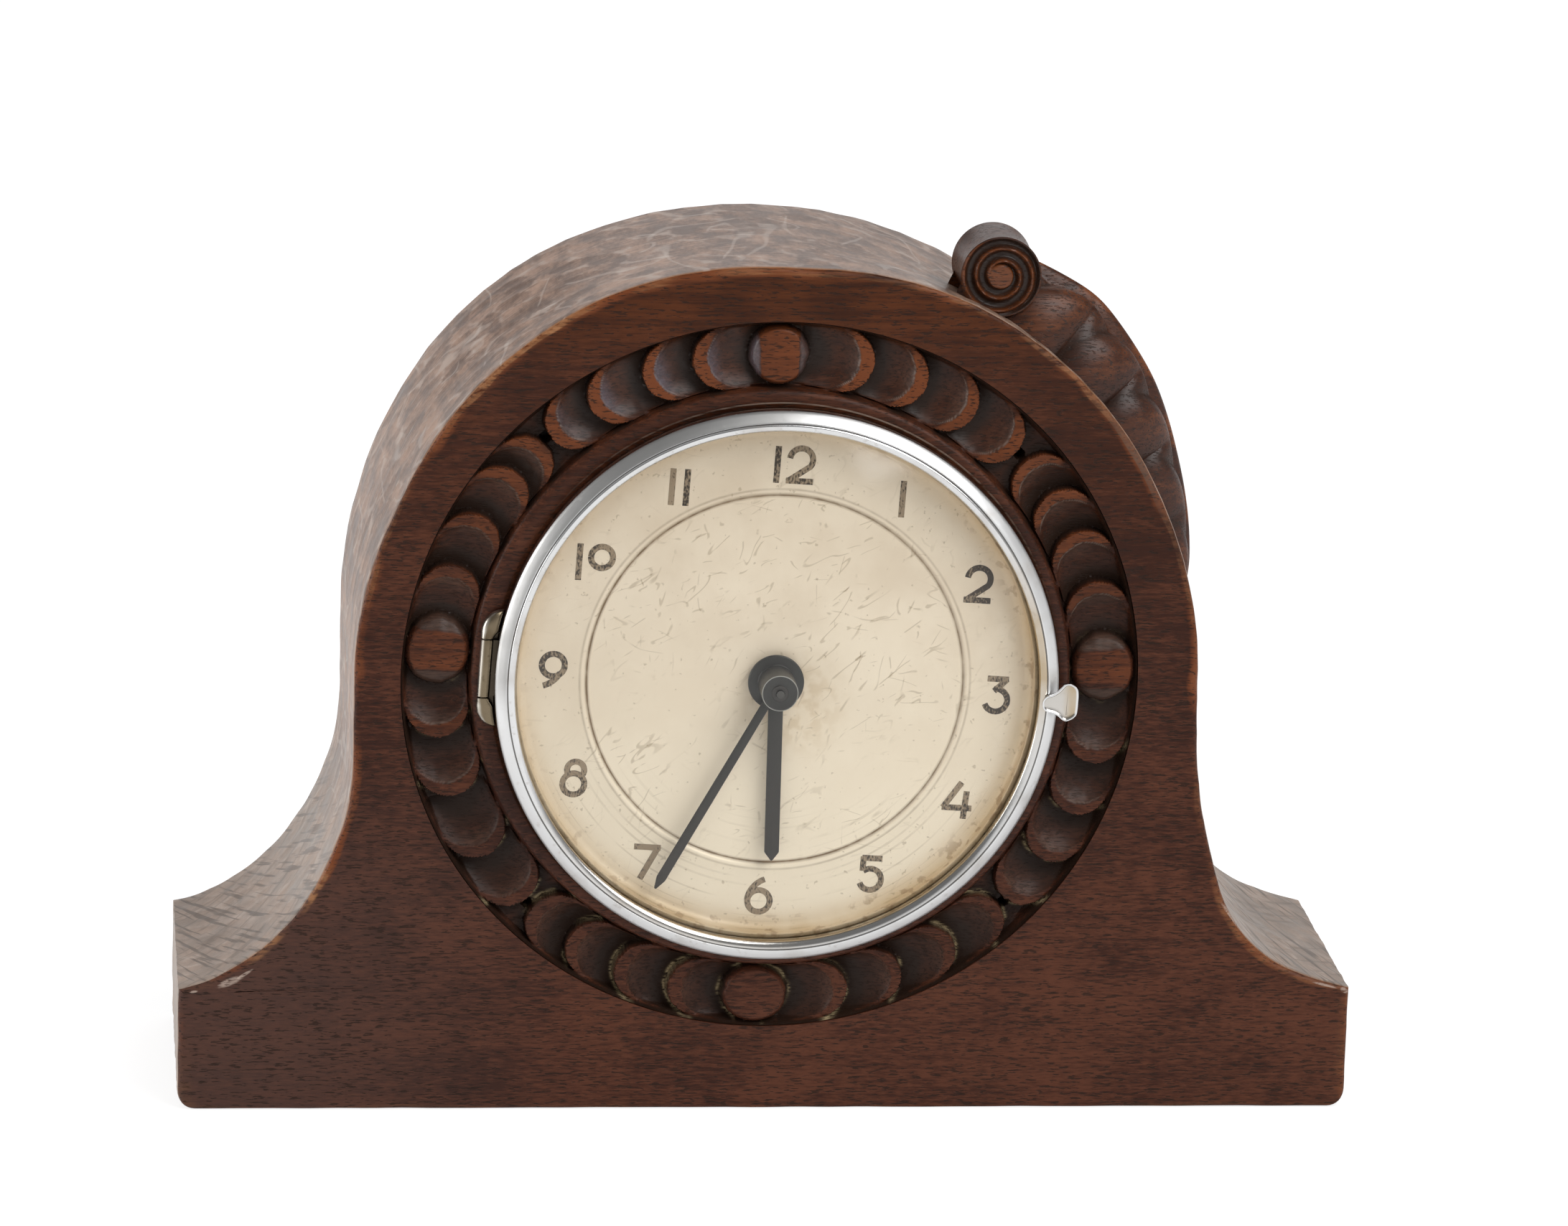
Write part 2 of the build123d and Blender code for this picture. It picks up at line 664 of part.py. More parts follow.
# Nut that holds the minute hand
with BuildPart() as hand_nut:
    add(turned(dial_frame, ((2.3, hub_top, hub_top + 1.2),)))
    chamfer(hand_nut.edges().sort_by(Axis.Y)[0], 0.4)
    with Locations(dial_frame.offset(hub_top + 2)):
        Hole(1.1)

# Motion work: cannon pinion, minute wheel on its stud, hour wheel
cannon_low = plate_front + 0.4
cannon_high = cannon_low + 2.8
with BuildPart() as cannon_pinion:
    add(leaved(dial_frame, ((cannon_out, cannon_low, minute_level - 0.4),), cannon_leaves, minute_module,
               cannon_phase, cannon_low, cannon_high))
    with Locations(dial_frame.offset(minute_level)):
        Hole(centre_radius)

with BuildPart() as minute_wheel:
    add(wheel(spot(*motion_at), minute_teeth, minute_module, minute_wheel_phase, cannon_low + 0.5,
              cannon_low + 2.0, 1.2 + running))
    with BuildSketch(spot(*motion_at, cannon_low + 2.0)):
        with BuildLine():
            Polyline(*gear_points(minute_leaves, hour_module, minute_pinion_phase), close=True)
        make_face()
        Circle(1.2 + running, mode=Mode.SUBTRACT)
    extrude(amount=3.0)

stud_top = cannon_low + 5.2
with BuildPart() as minute_wheel_stud:
    add(turned(spot(*motion_at), ((1.2, plate_inner, stud_top), (1.9, stud_top, stud_top + 0.7))))

with BuildPart() as hour_wheel:
    add(wheel(dial_frame, hour_teeth, hour_module, hour_phase, cannon_high + 0.4, cannon_high + 1.6,
              hour_pipe_in, windows=0))
    add(turned(dial_frame, ((hour_pipe_out, cannon_high + 1.6, minute_level - 0.9),)))
    with Locations(dial_frame.offset(minute_level)):
        Hole(hour_pipe_in)

# Plates, pillars and their screws
train_spots = (inter_at, third_at, fourth_at, escape_at, pallet_at, balance_at)
pillar_angles = (35.0, 145.0, 215.0, 325.0)
with BuildPart() as front_plate:
    with BuildSketch(dial_frame.offset(plate_inner)):
        Circle(plate_radius)
        with Locations(*train_spots):
            Circle(pivot_radius + running, mode=Mode.SUBTRACT)
        Circle(centre_radius + running, mode=Mode.SUBTRACT)
        with Locations(barrel_at):
            Circle(barrel_pivot + running, mode=Mode.SUBTRACT)
        with Locations(motion_at):
            Circle(1.2, mode=Mode.SUBTRACT)
        with PolarLocations(foot_circle, 3, 0, 180, endpoint=True):
            Circle(1.5 + running, mode=Mode.SUBTRACT)
        with Locations(*[polar((0, 0), pillar_circle, a) for a in pillar_angles]):
            Circle(1.5 + running, mode=Mode.SUBTRACT)
    extrude(amount=plate_thickness)

index_bore = 3.0
ratchet_radius = 12.0
click_at = polar(barrel_at, ratchet_radius + 6.0, 100)
with BuildPart() as back_plate:
    with BuildSketch(dial_frame.offset(back_outer)):
        Circle(plate_radius)
    extrude(amount=plate_thickness)
    with BuildSketch(spot(*balance_at, back_outer)):
        Circle(index_bore - 2 * running)
    extrude(amount=-1.2)
    with Locations(dial_frame.offset(back_inner)):
        with Locations(*train_spots):
            Hole(pivot_radius + running)
        Hole(centre_radius + running)
        with Locations(barrel_at):
            Hole(barrel_pivot + running)
        with Locations(*[polar((0, 0), pillar_circle, a) for a in pillar_angles]):
            Hole(1.5 + running)
        with Locations(click_at):
            Hole(1.2)

with BuildPart() as plate_pillars:
    with Locations(dial_frame):
        with Locations(*[polar((0, 0), pillar_circle, a) for a in pillar_angles]):
            add(turned(Plane.XY, ((pillar_radius, back_inner, plate_inner),)))
            Hole(1.5 + running)

with BuildPart() as pillar_screw:
    add(turned(Plane.XY, ((2.8, 0, 1.4), (1.5, -plate_thickness - 6, 0))))
    with Locations((0, 0, 1.4)):
        Box(8, 0.7, 1.2, mode=Mode.SUBTRACT)

with BuildPart() as pillar_screws:
    with Locations(dial_frame.offset(plate_front)):
        with Locations(*[polar((0, 0), pillar_circle, a) for a in pillar_angles]):
            add(pillar_screw.part)
    with Locations(Plane(origin=dial_frame.from_local_coords((0, 0, back_outer)), x_dir=-dial_frame.x_dir,
                         z_dir=-dial_frame.z_dir)):
        with Locations(*[polar((0, 0), pillar_circle, 180 - a) for a in pillar_angles]):
            add(pillar_screw.part)

# Barrel, its cover, arbor and mainspring
drum = great_module * great_teeth / 2 - 2.3
wall = 1.2
core = 6.0
barrel_spot = spot(*barrel_at)
with BuildPart() as barrel_drum:
    add(wheel(barrel_spot, great_teeth, great_module, great_phase, inside(7), inside(4),
              barrel_pivot + 0.5 + running, windows=0))
    with BuildSketch(barrel_spot.offset(inside(21))):
        Circle(drum)
        Circle(drum - wall, mode=Mode.SUBTRACT)
    extrude(amount=14)

with BuildPart() as barrel_cover:
    with BuildSketch(barrel_spot.offset(inside(21))):
        Circle(drum - wall)
        Circle(barrel_pivot + 0.5 + running, mode=Mode.SUBTRACT)
    extrude(amount=1.0)

key_square = 3.6
key_low = cover_back - 18.0
with BuildPart() as barrel_arbor:
    add(turned(barrel_spot, ((barrel_pivot, inside(3.7), plate_front), (barrel_pivot + 0.5, inside(21.3), inside(3.7)),
                             (core, inside(19.5), inside(7.5)), (barrel_pivot, cover_back - 6.0, inside(21.3)))))
    with BuildSketch(barrel_spot.offset(key_low)):
        Rectangle(key_square, key_square)
    extrude(amount=cover_back - 6.0 - key_low)

with BuildPart() as mainspring:
    add(spiral(barrel_spot, core + 1.2, drum - wall - 1.4, 8, 0.5, inside(19), inside(8)))

# Ratchet wheel and click on the back plate
ratchet_teeth = 24
ratchet_high = back_outer - 0.4
with BuildPart() as ratchet_wheel:
    with BuildSketch(barrel_spot.offset(ratchet_high - 2.0)):
        with BuildLine():
            saw = []
            for i in range(ratchet_teeth):
                saw.append(polar((0, 0), ratchet_radius, 360 * i / ratchet_teeth))
                saw.append(polar((0, 0), ratchet_radius - 1.4, 360 * (i + 0.12) / ratchet_teeth))
            Polyline(*saw, close=True)
        make_face()
        Circle(barrel_pivot, mode=Mode.SUBTRACT)
    extrude(amount=2.0)

click_tip = polar(barrel_at, ratchet_radius + 0.9, 70)
click_way = heading(click_at, click_tip)
click_side = (2.4 * sin(click_way), -2.4 * cos(click_way))
with BuildPart() as click:
    with BuildSketch(spot(0, 0, ratchet_high - 2.0)):
        with BuildLine():
            Polyline((click_at[0] + click_side[0], click_at[1] + click_side[1]), click_tip,
                     (click_at[0] - click_side[0], click_at[1] - click_side[1]), close=True)
        make_face()
        with Locations(click_at):
            Circle(2.6)
            Circle(1.2 + running, mode=Mode.SUBTRACT)
    extrude(amount=2.0)

with BuildPart() as click_screw:
    add(turned(spot(*click_at), ((1.2, ratchet_high - 2.2, back_inner), (2.4, ratchet_high - 3.4, ratchet_high - 2.2))))
    with Locations(spot(*click_at, ratchet_high - 3.4)):
        Box(6, 0.6, 1.0, mode=Mode.SUBTRACT)

# Winding key on the barrel arbor's square and knob on the centre arbor
with BuildPart() as winding_key:
    add(turned(barrel_spot, ((4.0, key_low, key_low + 11.0),)))
    with BuildSketch(barrel_spot.offset(key_low - 1.0)):
        with Locations((8.5, 0), (-8.5, 0)):
            Ellipse(6.0, 1.1)
        Rectangle(9.0, 2.2)
    extrude(amount=9.0)
    with BuildSketch(barrel_spot.offset(key_low)):
        Rectangle(key_square + 0.1, key_square + 0.1)
    extrude(amount=12.0, mode=Mode.SUBTRACT)

knob_low = cover_back - 11.0
with BuildPart() as setting_knob:
    with BuildSketch(dial_frame.offset(knob_low)):
        Circle(8.0)
        with PolarLocations(8.0, 30):
            Circle(0.45, mode=Mode.SUBTRACT)
        Circle(centre_radius, mode=Mode.SUBTRACT)
    extrude(amount=6.0)
    with BuildSketch(dial_frame.offset(knob_low + 6.0)):
        Circle(4.0)
        Circle(centre_radius, mode=Mode.SUBTRACT)
    extrude(amount=2.0)

# Going train: each arbor with its pinion, and the wheel pressed on it
plain = ((arbor_radius, inside(plate_gap - end_shake), inside(end_shake)),
         (pivot_radius, back_outer, plate_front))
with BuildPart() as intermediate_arbor:
    add(leaved(spot(*inter_at), plain, inter_leaves, great_module, inter_pinion_phase, inside(8), inside(3)))
with BuildPart() as intermediate_wheel:
    add(wheel(spot(*inter_at), inter_teeth, inter_module, inter_wheel_phase, inside(25), inside(23), arbor_radius))

with BuildPart() as centre_arbor:
    add(leaved(dial_frame, ((centre_radius, knob_low, hub_top), (1.1, hub_top, hub_top + 1.5)), centre_leaves,
               inter_module, centre_pinion_phase, inside(26), inside(22)))
with BuildPart() as centre_wheel:
    add(wheel(dial_frame, centre_teeth, centre_module, centre_wheel_phase, inside(2.5), inside(1), centre_radius))

with BuildPart() as third_arbor:
    add(leaved(spot(*third_at), plain, third_leaves, centre_module, third_pinion_phase, inside(3.5), inside(0.6)))
with BuildPart() as third_wheel:
    add(wheel(spot(*third_at), third_teeth, third_module, third_wheel_phase, inside(9.5), inside(8), arbor_radius))

with BuildPart() as fourth_arbor:
    add(leaved(spot(*fourth_at), plain, fourth_leaves, third_module, fourth_pinion_phase, inside(10.5), inside(7)))
with BuildPart() as fourth_wheel:
    add(wheel(spot(*fourth_at), fourth_teeth, fourth_module, fourth_wheel_phase, inside(15.5), inside(14),
              arbor_radius))

thin = ((1.1, inside(plate_gap - end_shake), inside(end_shake)), (pivot_radius, back_outer, plate_front))
with BuildPart() as escape_arbor:
    add(leaved(spot(*escape_at), thin, escape_leaves, fourth_module, escape_pinion_phase, inside(16.5), inside(13)))

with BuildPart() as escape_wheel:
    with BuildSketch(spot(*escape_at, inside(21.2))):
        with BuildLine():
            teeth = []
            for i in range(escape_teeth):
                teeth.append(polar((0, 0), escape_radius, 360 * i / escape_teeth))
                teeth.append(polar((0, 0), escape_radius - 1.9, 360 * (i + 0.14) / escape_teeth))
                teeth.append(polar((0, 0), escape_radius - 1.7, 360 * (i + 0.7) / escape_teeth))
            Polyline(*teeth, close=True)
        make_face()
        with PolarLocations(3.4, 5):
            Circle(1.1, mode=Mode.SUBTRACT)
        Circle(1.1, mode=Mode.SUBTRACT)
    extrude(amount=1.2)

# Pallet lever with two pins and a fork, and the balance
pin_circle = escape_radius + 1.1
pin_spots = [polar(escape_at, pin_circle, 180 - 30), polar(escape_at, pin_circle, 180 + 30)]
fork_gap = 3.0
with BuildPart() as pallet_lever:
    add(turned(spot(*pallet_at), ((0.9, inside(plate_gap - end_shake), inside(end_shake)),
                                  (pivot_radius, back_outer, plate_front))))
    with BuildSketch(dial_frame.offset(inside(23.5))):
        for end in pin_spots + [polar(pallet_at, balance_distance - fork_gap, 200)]:
            middle = ((pallet_at[0] + end[0]) / 2, (pallet_at[1] + end[1]) / 2)
            with Locations(Location((*middle, 0), (0, 0, degrees(heading(pallet_at, end))))):
                SlotCenterToCenter(hypot(end[0] - pallet_at[0], end[1] - pallet_at[1]) - 0.2, 1.5)
        with Locations(pallet_at):
            Circle(1.8)
    extrude(amount=1.2)
    with BuildSketch(dial_frame.offset(inside(23.5))):
        with Locations(*pin_spots):
            Circle(0.35)
    extrude(amount=4.0)

with BuildPart() as balance_staff:
    add(turned(spot(*balance_at), ((0.9, inside(plate_gap - end_shake), inside(end_shake)),
                                   (pivot_radius, back_outer, plate_front), (2.0, inside(25.0), inside(24.2)))))
    with BuildSketch(spot(balance_at[0], balance_at[1] + 1.5, inside(24.2))):
        Circle(0.35)
    extrude(amount=1.6)

with BuildPart() as balance_wheel:
    with BuildSketch(spot(*balance_at, inside(27.2))):
        Circle(10.0)
        Circle(8.6, mode=Mode.SUBTRACT)
        Rectangle(17.8, 1.4)
        Circle(2.2)
        Circle(0.9, mode=Mode.SUBTRACT)
    extrude(amount=1.2)

with BuildPart() as hairspring:
    add(spiral(spot(*balance_at), 1.4, 6.4, 6, 0.15, inside(28.8), inside(28.2)))
    with BuildSketch(spot(balance_at[0] + 6.4, balance_at[1], back_inner)):
        Circle(0.5)
    extrude(amount=inside(28.2) - back_inner)

with BuildPart() as regulator_index:
    with BuildSketch(spot(*balance_at, back_outer - 1.0)):
        Circle(4.6)
        with BuildLine():
            Polyline((-1.0, 3.5), (-0.4, 16.0), (0.4, 16.0), (1.0, 3.5), close=True)
        make_face()
        Circle(index_bore, mode=Mode.SUBTRACT)
    extrude(amount=0.9)

# Label every finished piece and write it out
pieces = {
    "case_body": case_body, "carved_surround": carved_surround, "shoulder_leaf": shoulder_leaf,
    "leaf_dowels": leaf_dowels, "back_cover": back_cover, "back_cover_screws": back_cover_screws,
    "dial_pan": dial_pan, "dial_pan_screws": dial_pan_screws, "dial_plate": dial_plate,
    "dial_feet": dial_feet, "dial_foot_nuts": dial_foot_nuts, "bezel_ring": bezel_ring,
    "dial_glass": dial_glass, "glass_retainer": glass_retainer, "hinge_leaf_case": hinge_leaf_case,
    "hinge_leaf_bezel": hinge_leaf_bezel, "hinge_pin": hinge_pin, "thumb_tab": thumb_tab,
    "hour_hand": hour_hand, "minute_hand": minute_hand, "hand_nut": hand_nut,
    "cannon_pinion": cannon_pinion, "minute_wheel": minute_wheel, "minute_wheel_stud": minute_wheel_stud,
    "hour_wheel": hour_wheel, "front_plate": front_plate, "back_plate": back_plate,
    "plate_pillars": plate_pillars, "pillar_screws": pillar_screws, "barrel_drum": barrel_drum,
    "barrel_cover": barrel_cover, "barrel_arbor": barrel_arbor, "mainspring": mainspring,
    "ratchet_wheel": ratchet_wheel, "click": click, "click_screw": click_screw,
    "winding_key": winding_key, "setting_knob": setting_knob, "intermediate_arbor": intermediate_arbor,
    "intermediate_wheel": intermediate_wheel, "centre_arbor": centre_arbor, "centre_wheel": centre_wheel,
    "third_arbor": third_arbor, "third_wheel": third_wheel, "fourth_arbor": fourth_arbor,
    "fourth_wheel": fourth_wheel, "escape_arbor": escape_arbor, "escape_wheel": escape_wheel,
    "pallet_lever": pallet_lever, "balance_staff": balance_staff, "balance_wheel": balance_wheel,
    "hairspring": hairspring, "regulator_index": regulator_index,
}
os.makedirs("parts", exist_ok=True)
for name, piece in pieces.items():
    piece.part.label = name
    export_step(piece.part, f"parts/{name}.step")
    print(name, len(piece.part.solids()), round(piece.part.volume, 1), piece.part.is_valid)

# Where the moving pieces turn, for the record
for name, at in (("centre", centre_at), ("barrel", barrel_at), ("intermediate", inter_at), ("third", third_at),
                 ("fourth", fourth_at), ("escape", escape_at), ("pallet", pallet_at), ("balance", balance_at),
                 ("motion", motion_at), ("click", click_at), ("hinge", (-hinge_offset, 0))):
    place = spot(*at, hinge_level if name == "hinge" else 0).origin
    print("axis", name, round(place.X, 4), round(place.Y, 4), round(place.Z, 4))
print("hinge axis", dial_frame.y_dir)
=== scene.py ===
# %% [markdown]
# # Oak mantel clock with a carved dial surround
#
# The clock is an oak block with a round arch and swept feet. A carved ring is let into its front.
# A chromed door with a domed glass covers a cream dial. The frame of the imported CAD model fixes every
# place and every joint, and this lesson dresses it: carved wood, worn chrome, a stained dial, old brass.

# %% Load the frame
import json
from math import cos, pi, radians, sin, tan

import bpy
import numpy as np
from mathutils import Matrix, Vector


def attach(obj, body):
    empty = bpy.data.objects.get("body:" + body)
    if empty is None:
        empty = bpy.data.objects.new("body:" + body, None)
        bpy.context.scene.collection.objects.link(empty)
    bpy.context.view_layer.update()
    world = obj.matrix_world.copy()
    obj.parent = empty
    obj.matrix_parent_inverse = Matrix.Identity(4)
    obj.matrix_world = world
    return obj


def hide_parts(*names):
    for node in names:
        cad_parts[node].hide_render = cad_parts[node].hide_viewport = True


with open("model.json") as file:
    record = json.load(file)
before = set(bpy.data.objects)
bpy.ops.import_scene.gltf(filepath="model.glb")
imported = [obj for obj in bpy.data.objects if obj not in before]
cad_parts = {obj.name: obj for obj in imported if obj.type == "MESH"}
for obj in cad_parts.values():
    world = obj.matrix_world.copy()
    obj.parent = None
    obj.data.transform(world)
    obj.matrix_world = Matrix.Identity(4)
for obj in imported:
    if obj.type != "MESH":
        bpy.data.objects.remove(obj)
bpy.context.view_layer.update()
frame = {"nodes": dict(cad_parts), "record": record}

# %% [markdown]
# ## Places
#
# Drawings are in millimetres and the frame is in metres. Three lengths place everything: the height of
# the dial's centre, the front face of the case and the small clockwise turn of the dial in its case.
# A dial place is given as right, up and toward the viewer.

# %% Places
MM = 0.001
FRONT = -46.0
BACK = 46.0
DIAL_Z = 123.5
TURN = radians(3.3)


def dial_points(u, v, w):
    x = u * cos(TURN) + v * sin(TURN)
    z = DIAL_Z + v * cos(TURN) - u * sin(TURN)
    return np.stack(np.broadcast_arrays(x, FRONT - np.asarray(w, float), z), axis=-1) * MM


print("dial centre", dial_points(0, 0, 0))

# %% [markdown]
# ## Steps, humps and drift
#
# Handwork is never quite even. A smooth step blends one state into the next without a kink, and a hump is a
# soft swelling round one place. A drift is a smooth field of chance over two lengths: a table of random
# numbers, blended from entry to entry. A noise texture does the same in a finish, but here the numbers
# have to move points. The seed fixes the table, so every run gives the same clock.

# %% Steps, humps and drift
TABLE = 64


def smooth_step(low, high, value):
    t = np.clip((np.asarray(value, float) - low) / (high - low), 0, 1)
    return t * t * (3 - 2 * t)


def hump(value, centre, spread):
    return np.exp(-((value - centre) / spread) ** 2)


def drift(a, b, size, seed):
    table = np.random.default_rng(seed).uniform(-1, 1, (TABLE, TABLE))
    p = np.asarray(a, float) / size
    q = np.asarray(b, float) / size
    i = np.floor(p).astype(int)
    j = np.floor(q).astype(int)
    f = smooth_step(0, 1, p - i)
    g = smooth_step(0, 1, q - j)
    here, beside = i % TABLE, (i + 1) % TABLE
    low, high = j % TABLE, (j + 1) % TABLE
    lower = table[here, low] * (1 - f) + table[beside, low] * f
    upper = table[here, high] * (1 - f) + table[beside, high] * f
    return lower * (1 - g) + upper * g


print("drift, for example", round(float(drift(30, 40, 9, 3)), 3))

# %% [markdown]
# ## Starting a piece
#
# Each piece starts as a primitive. An operator acts on all that is selected, so the selection is cleared
# first. The primitive's points are then moved all at once, which is quicker than one by one. At the end
# doubled points are merged and the faces are turned outwards.

# %% Starting a piece
MERGE = 1e-6


def clear_selection():
    bpy.ops.object.select_all(action="DESELECT")


def take(name):
    piece = bpy.context.object
    piece.name = name
    piece.data.name = name
    return piece


def set_points(piece, points):
    piece.data.vertices.foreach_set("co", np.ascontiguousarray(points, dtype=np.float32).ravel())
    piece.data.update()


def tidy_normals():
    bpy.ops.mesh.select_all(action="SELECT")
    bpy.ops.mesh.remove_doubles(threshold=MERGE)
    bpy.ops.mesh.normals_make_consistent(inside=False)
    bpy.ops.object.mode_set(mode="OBJECT")


print("points nearer than", MERGE, "m are merged")

# %% [markdown]
# ## Turned pieces and plates
#
# A turned piece is a circle of points, moved onto half of its section and spun round the dial's axis, as on
# a lathe. A section that starts and ends on the axis is left open there: the edge that would close it is
# deleted before the spin. A plate is a filled circle, moved onto its outline and extruded to the viewer.

# %% Turned pieces and plates
START = 0.01


def turned(name, profile, steps=240, closed=True):
    clear_selection()
    bpy.ops.mesh.primitive_circle_add(vertices=len(profile), radius=START)
    piece = take(name)
    r, w = np.array(profile, float).T
    set_points(piece, np.stack([r, FRONT - w, np.full_like(r, DIAL_Z)], axis=1) * MM)
    last = len(profile) - 1
    for point in piece.data.vertices:
        point.select = not closed and point.index in (0, last)
    for edge in piece.data.edges:
        edge.select = not closed and set(edge.vertices) == {0, last}
    bpy.ops.object.mode_set(mode="EDIT")
    if not closed:
        bpy.ops.mesh.select_mode(type="EDGE")
        bpy.ops.mesh.delete(type="EDGE_FACE")
        bpy.ops.mesh.select_mode(type="VERT")
    bpy.ops.mesh.select_all(action="SELECT")
    bpy.ops.mesh.spin(steps=steps, angle=2 * pi, center=(0, 0, DIAL_Z * MM), axis=(0, 1, 0))
    tidy_normals()
    return piece


def plate(name, outline, low, high):
    clear_selection()
    bpy.ops.mesh.primitive_circle_add(vertices=len(outline), radius=START, fill_type="NGON")
    piece = take(name)
    u, v = np.array(outline, float).T
    set_points(piece, dial_points(u, v, low))
    bpy.ops.object.mode_set(mode="EDIT")
    bpy.ops.mesh.select_all(action="SELECT")
    bpy.ops.mesh.extrude_region_move(TRANSFORM_OT_translate={"value": (0, (low - high) * MM, 0)})
    tidy_normals()
    return piece


print("circles start with a radius of", START, "m")

# %% [markdown]
# ## Draped pieces and marks
#
# A carved surface is a grid, moved onto a skin that was worked out row by row. A wrapped skin closes on
# itself both ways, and its seams are merged. It could be sculpted with brushes, but a skin that is worked
# out comes out the same each time. Marks are numbers on the points, such as wear, which the finishes read.

# %% Draped pieces and marks
def mark(piece, name, values):
    layer = piece.data.attributes.new(name, "FLOAT", "POINT")
    layer.data.foreach_set("value", np.ascontiguousarray(values, dtype=np.float32).ravel())


def draped(name, points, **marks):
    clear_selection()
    rows, columns = points.shape[:2]
    bpy.ops.mesh.primitive_grid_add(x_subdivisions=columns - 1, y_subdivisions=rows - 1)
    piece = take(name)
    set_points(piece, points * MM)
    for label, values in marks.items():
        mark(piece, label, values)
    bpy.ops.object.mode_set(mode="EDIT")
    tidy_normals()
    return piece


def wrapped(name, points, **marks):
    closed = np.pad(points, ((0, 1), (0, 1), (0, 0)), mode="wrap")
    closed_marks = {label: np.pad(values, (0, 1), mode="wrap") for label, values in marks.items()}
    return draped(name, closed, **closed_marks)


print("skins can be draped and wrapped")

# %% [markdown]
# ## Finishing a piece
#
# Real edges are never quite sharp and catch the light, so a bevel modifier softens them. Parts of one piece
# are joined. Then the piece gets its finish and is shaded smooth up to an angle. It rides a body of the
# frame, and stands in for the CAD nodes that it shows in more detail.

# %% Finishing a piece
def soften(piece, width, segments=2, angle=35):
    edge = piece.modifiers.new("soften", "BEVEL")
    edge.width = width * MM
    edge.segments = segments
    edge.limit_method = "ANGLE"
    edge.angle_limit = radians(angle)
    bpy.context.view_layer.objects.active = piece
    bpy.ops.object.modifier_apply(modifier=edge.name)
    return piece


def join(name, pieces):
    clear_selection()
    for piece in pieces:
        piece.select_set(True)
    bpy.context.view_layer.objects.active = pieces[0]
    bpy.ops.object.join()
    return take(name)


def dress(piece, body, finish, nodes=(), angle=35):
    if not piece.data.materials:
        piece.data.materials.append(finish)
    clear_selection()
    piece.select_set(True)
    bpy.context.view_layer.objects.active = piece
    bpy.ops.object.shade_smooth_by_angle(angle=radians(angle))
    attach(piece, body)
    if nodes:
        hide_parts(*nodes)
    print(piece.name, len(piece.data.polygons), "faces on", body)


print("pieces can be softened, joined and dressed")

# %% [markdown]
# ## Camera
#
# The camera stands a little left of the clock and looks down on it from two metres. The place, the
# slight roll and the long lens come from fitting the clock's edges in the picture. The three directions
# of the camera are worked out first, because a matrix of them leaves no doubt about the order of turns.

# %% Camera
AIM = Vector((0.001686, -0.046, 0.143358))
AZIMUTH = radians(-5.682)
HEIGHT = radians(13.677)
ROLL = radians(1.55)
REACH = 2.098
SENSOR = 36
LENS = 173.9
NEAR = 0.05
back = Vector((sin(AZIMUTH) * cos(HEIGHT), -cos(AZIMUTH) * cos(HEIGHT), sin(HEIGHT)))
level = Vector((cos(AZIMUTH), sin(AZIMUTH), 0))
above = back.cross(level)
right = level * cos(ROLL) + above * sin(ROLL)
up = above * cos(ROLL) - level * sin(ROLL)
bpy.ops.object.camera_add()
camera = take("camera")
camera.data.sensor_fit = "HORIZONTAL"
camera.data.sensor_width = SENSOR
camera.data.lens = LENS
camera.data.clip_start = NEAR
looking = Matrix((right, up, back)).transposed().to_4x4()
camera.matrix_world = Matrix.Translation(AIM + back * REACH) @ looking
bpy.context.scene.camera = camera
bpy.context.scene.view_settings.view_transform = "Standard"
print("camera at", tuple(camera.matrix_world.translation))

# %% [markdown]
# ## Sums with sockets
#
# A finish is a small graph of nodes. This class wraps one output socket, so that masks can be written
# as sums. One method makes any other node: its settings are set first, then its sockets. The nodes could be
# placed by hand in the editor, but a sum on one line is easier to read and to change.

# %% Sums with sockets
class Wire:
    def __init__(self, tree, socket=None):
        self.tree = tree
        self.socket = socket

    def node(self, kind, settings=None, sockets=None, out=0):
        made = self.tree.nodes.new("ShaderNode" + kind)
        for name, value in (settings or {}).items():
            setattr(made, name, value)
        for key, value in (sockets or {}).items():
            if isinstance(value, Wire):
                self.tree.links.new(value.socket, made.inputs[key])
            else:
                made.inputs[key].default_value = value
        return Wire(self.tree, made.outputs[out])

    def math(self, operation, a, b):
        return self.node("Math", {"operation": operation}, {0: a, 1: b})

    def __add__(self, other):
        return self.math("ADD", self, other)

    __radd__ = __add__

    def __mul__(self, other):
        return self.math("MULTIPLY", self, other)

    __rmul__ = __mul__

    def __sub__(self, other):
        return self.math("SUBTRACT", self, other)

    def __rsub__(self, other):
        return self.math("SUBTRACT", other, self)

    def most(self, other):
        return self.math("MAXIMUM", self, other)

    def rise(self, low, high):
        return self.node("MapRange", {"interpolation_type": "SMOOTHSTEP"},
                         {"Value": self, "From Min": low, "From Max": high})

    def between(self, low, high):
        return self.node("MapRange", {"clamp": True}, {"Value": self, "To Min": low, "To Max": high})

    def mix(self, first, second):
        return self.node("Mix", {"data_type": "RGBA"}, {0: self, 6: first, 7: second}, out=2)

    def stretched(self, scale, turn=(0, 0, 0)):
        return self.node("Mapping", {}, {"Vector": self, "Scale": scale, "Rotation": turn})

    def noise(self, scale, detail, rough=0.5):
        sockets = {"Vector": self, "Scale": scale, "Detail": detail, "Roughness": rough}
        return self.node("TexNoise", {}, sockets)

    def marked(self, name):
        return self.node("Attribute", {"attribute_name": name}, out="Fac")

    def axis(self, name):
        return self.node("SeparateXYZ", {}, {0: self}, out=name)

    def distance(self, centre):
        return self.node("VectorMath", {"operation": "DISTANCE"}, {0: self, 1: centre}, out="Value")


print("sockets can be summed")

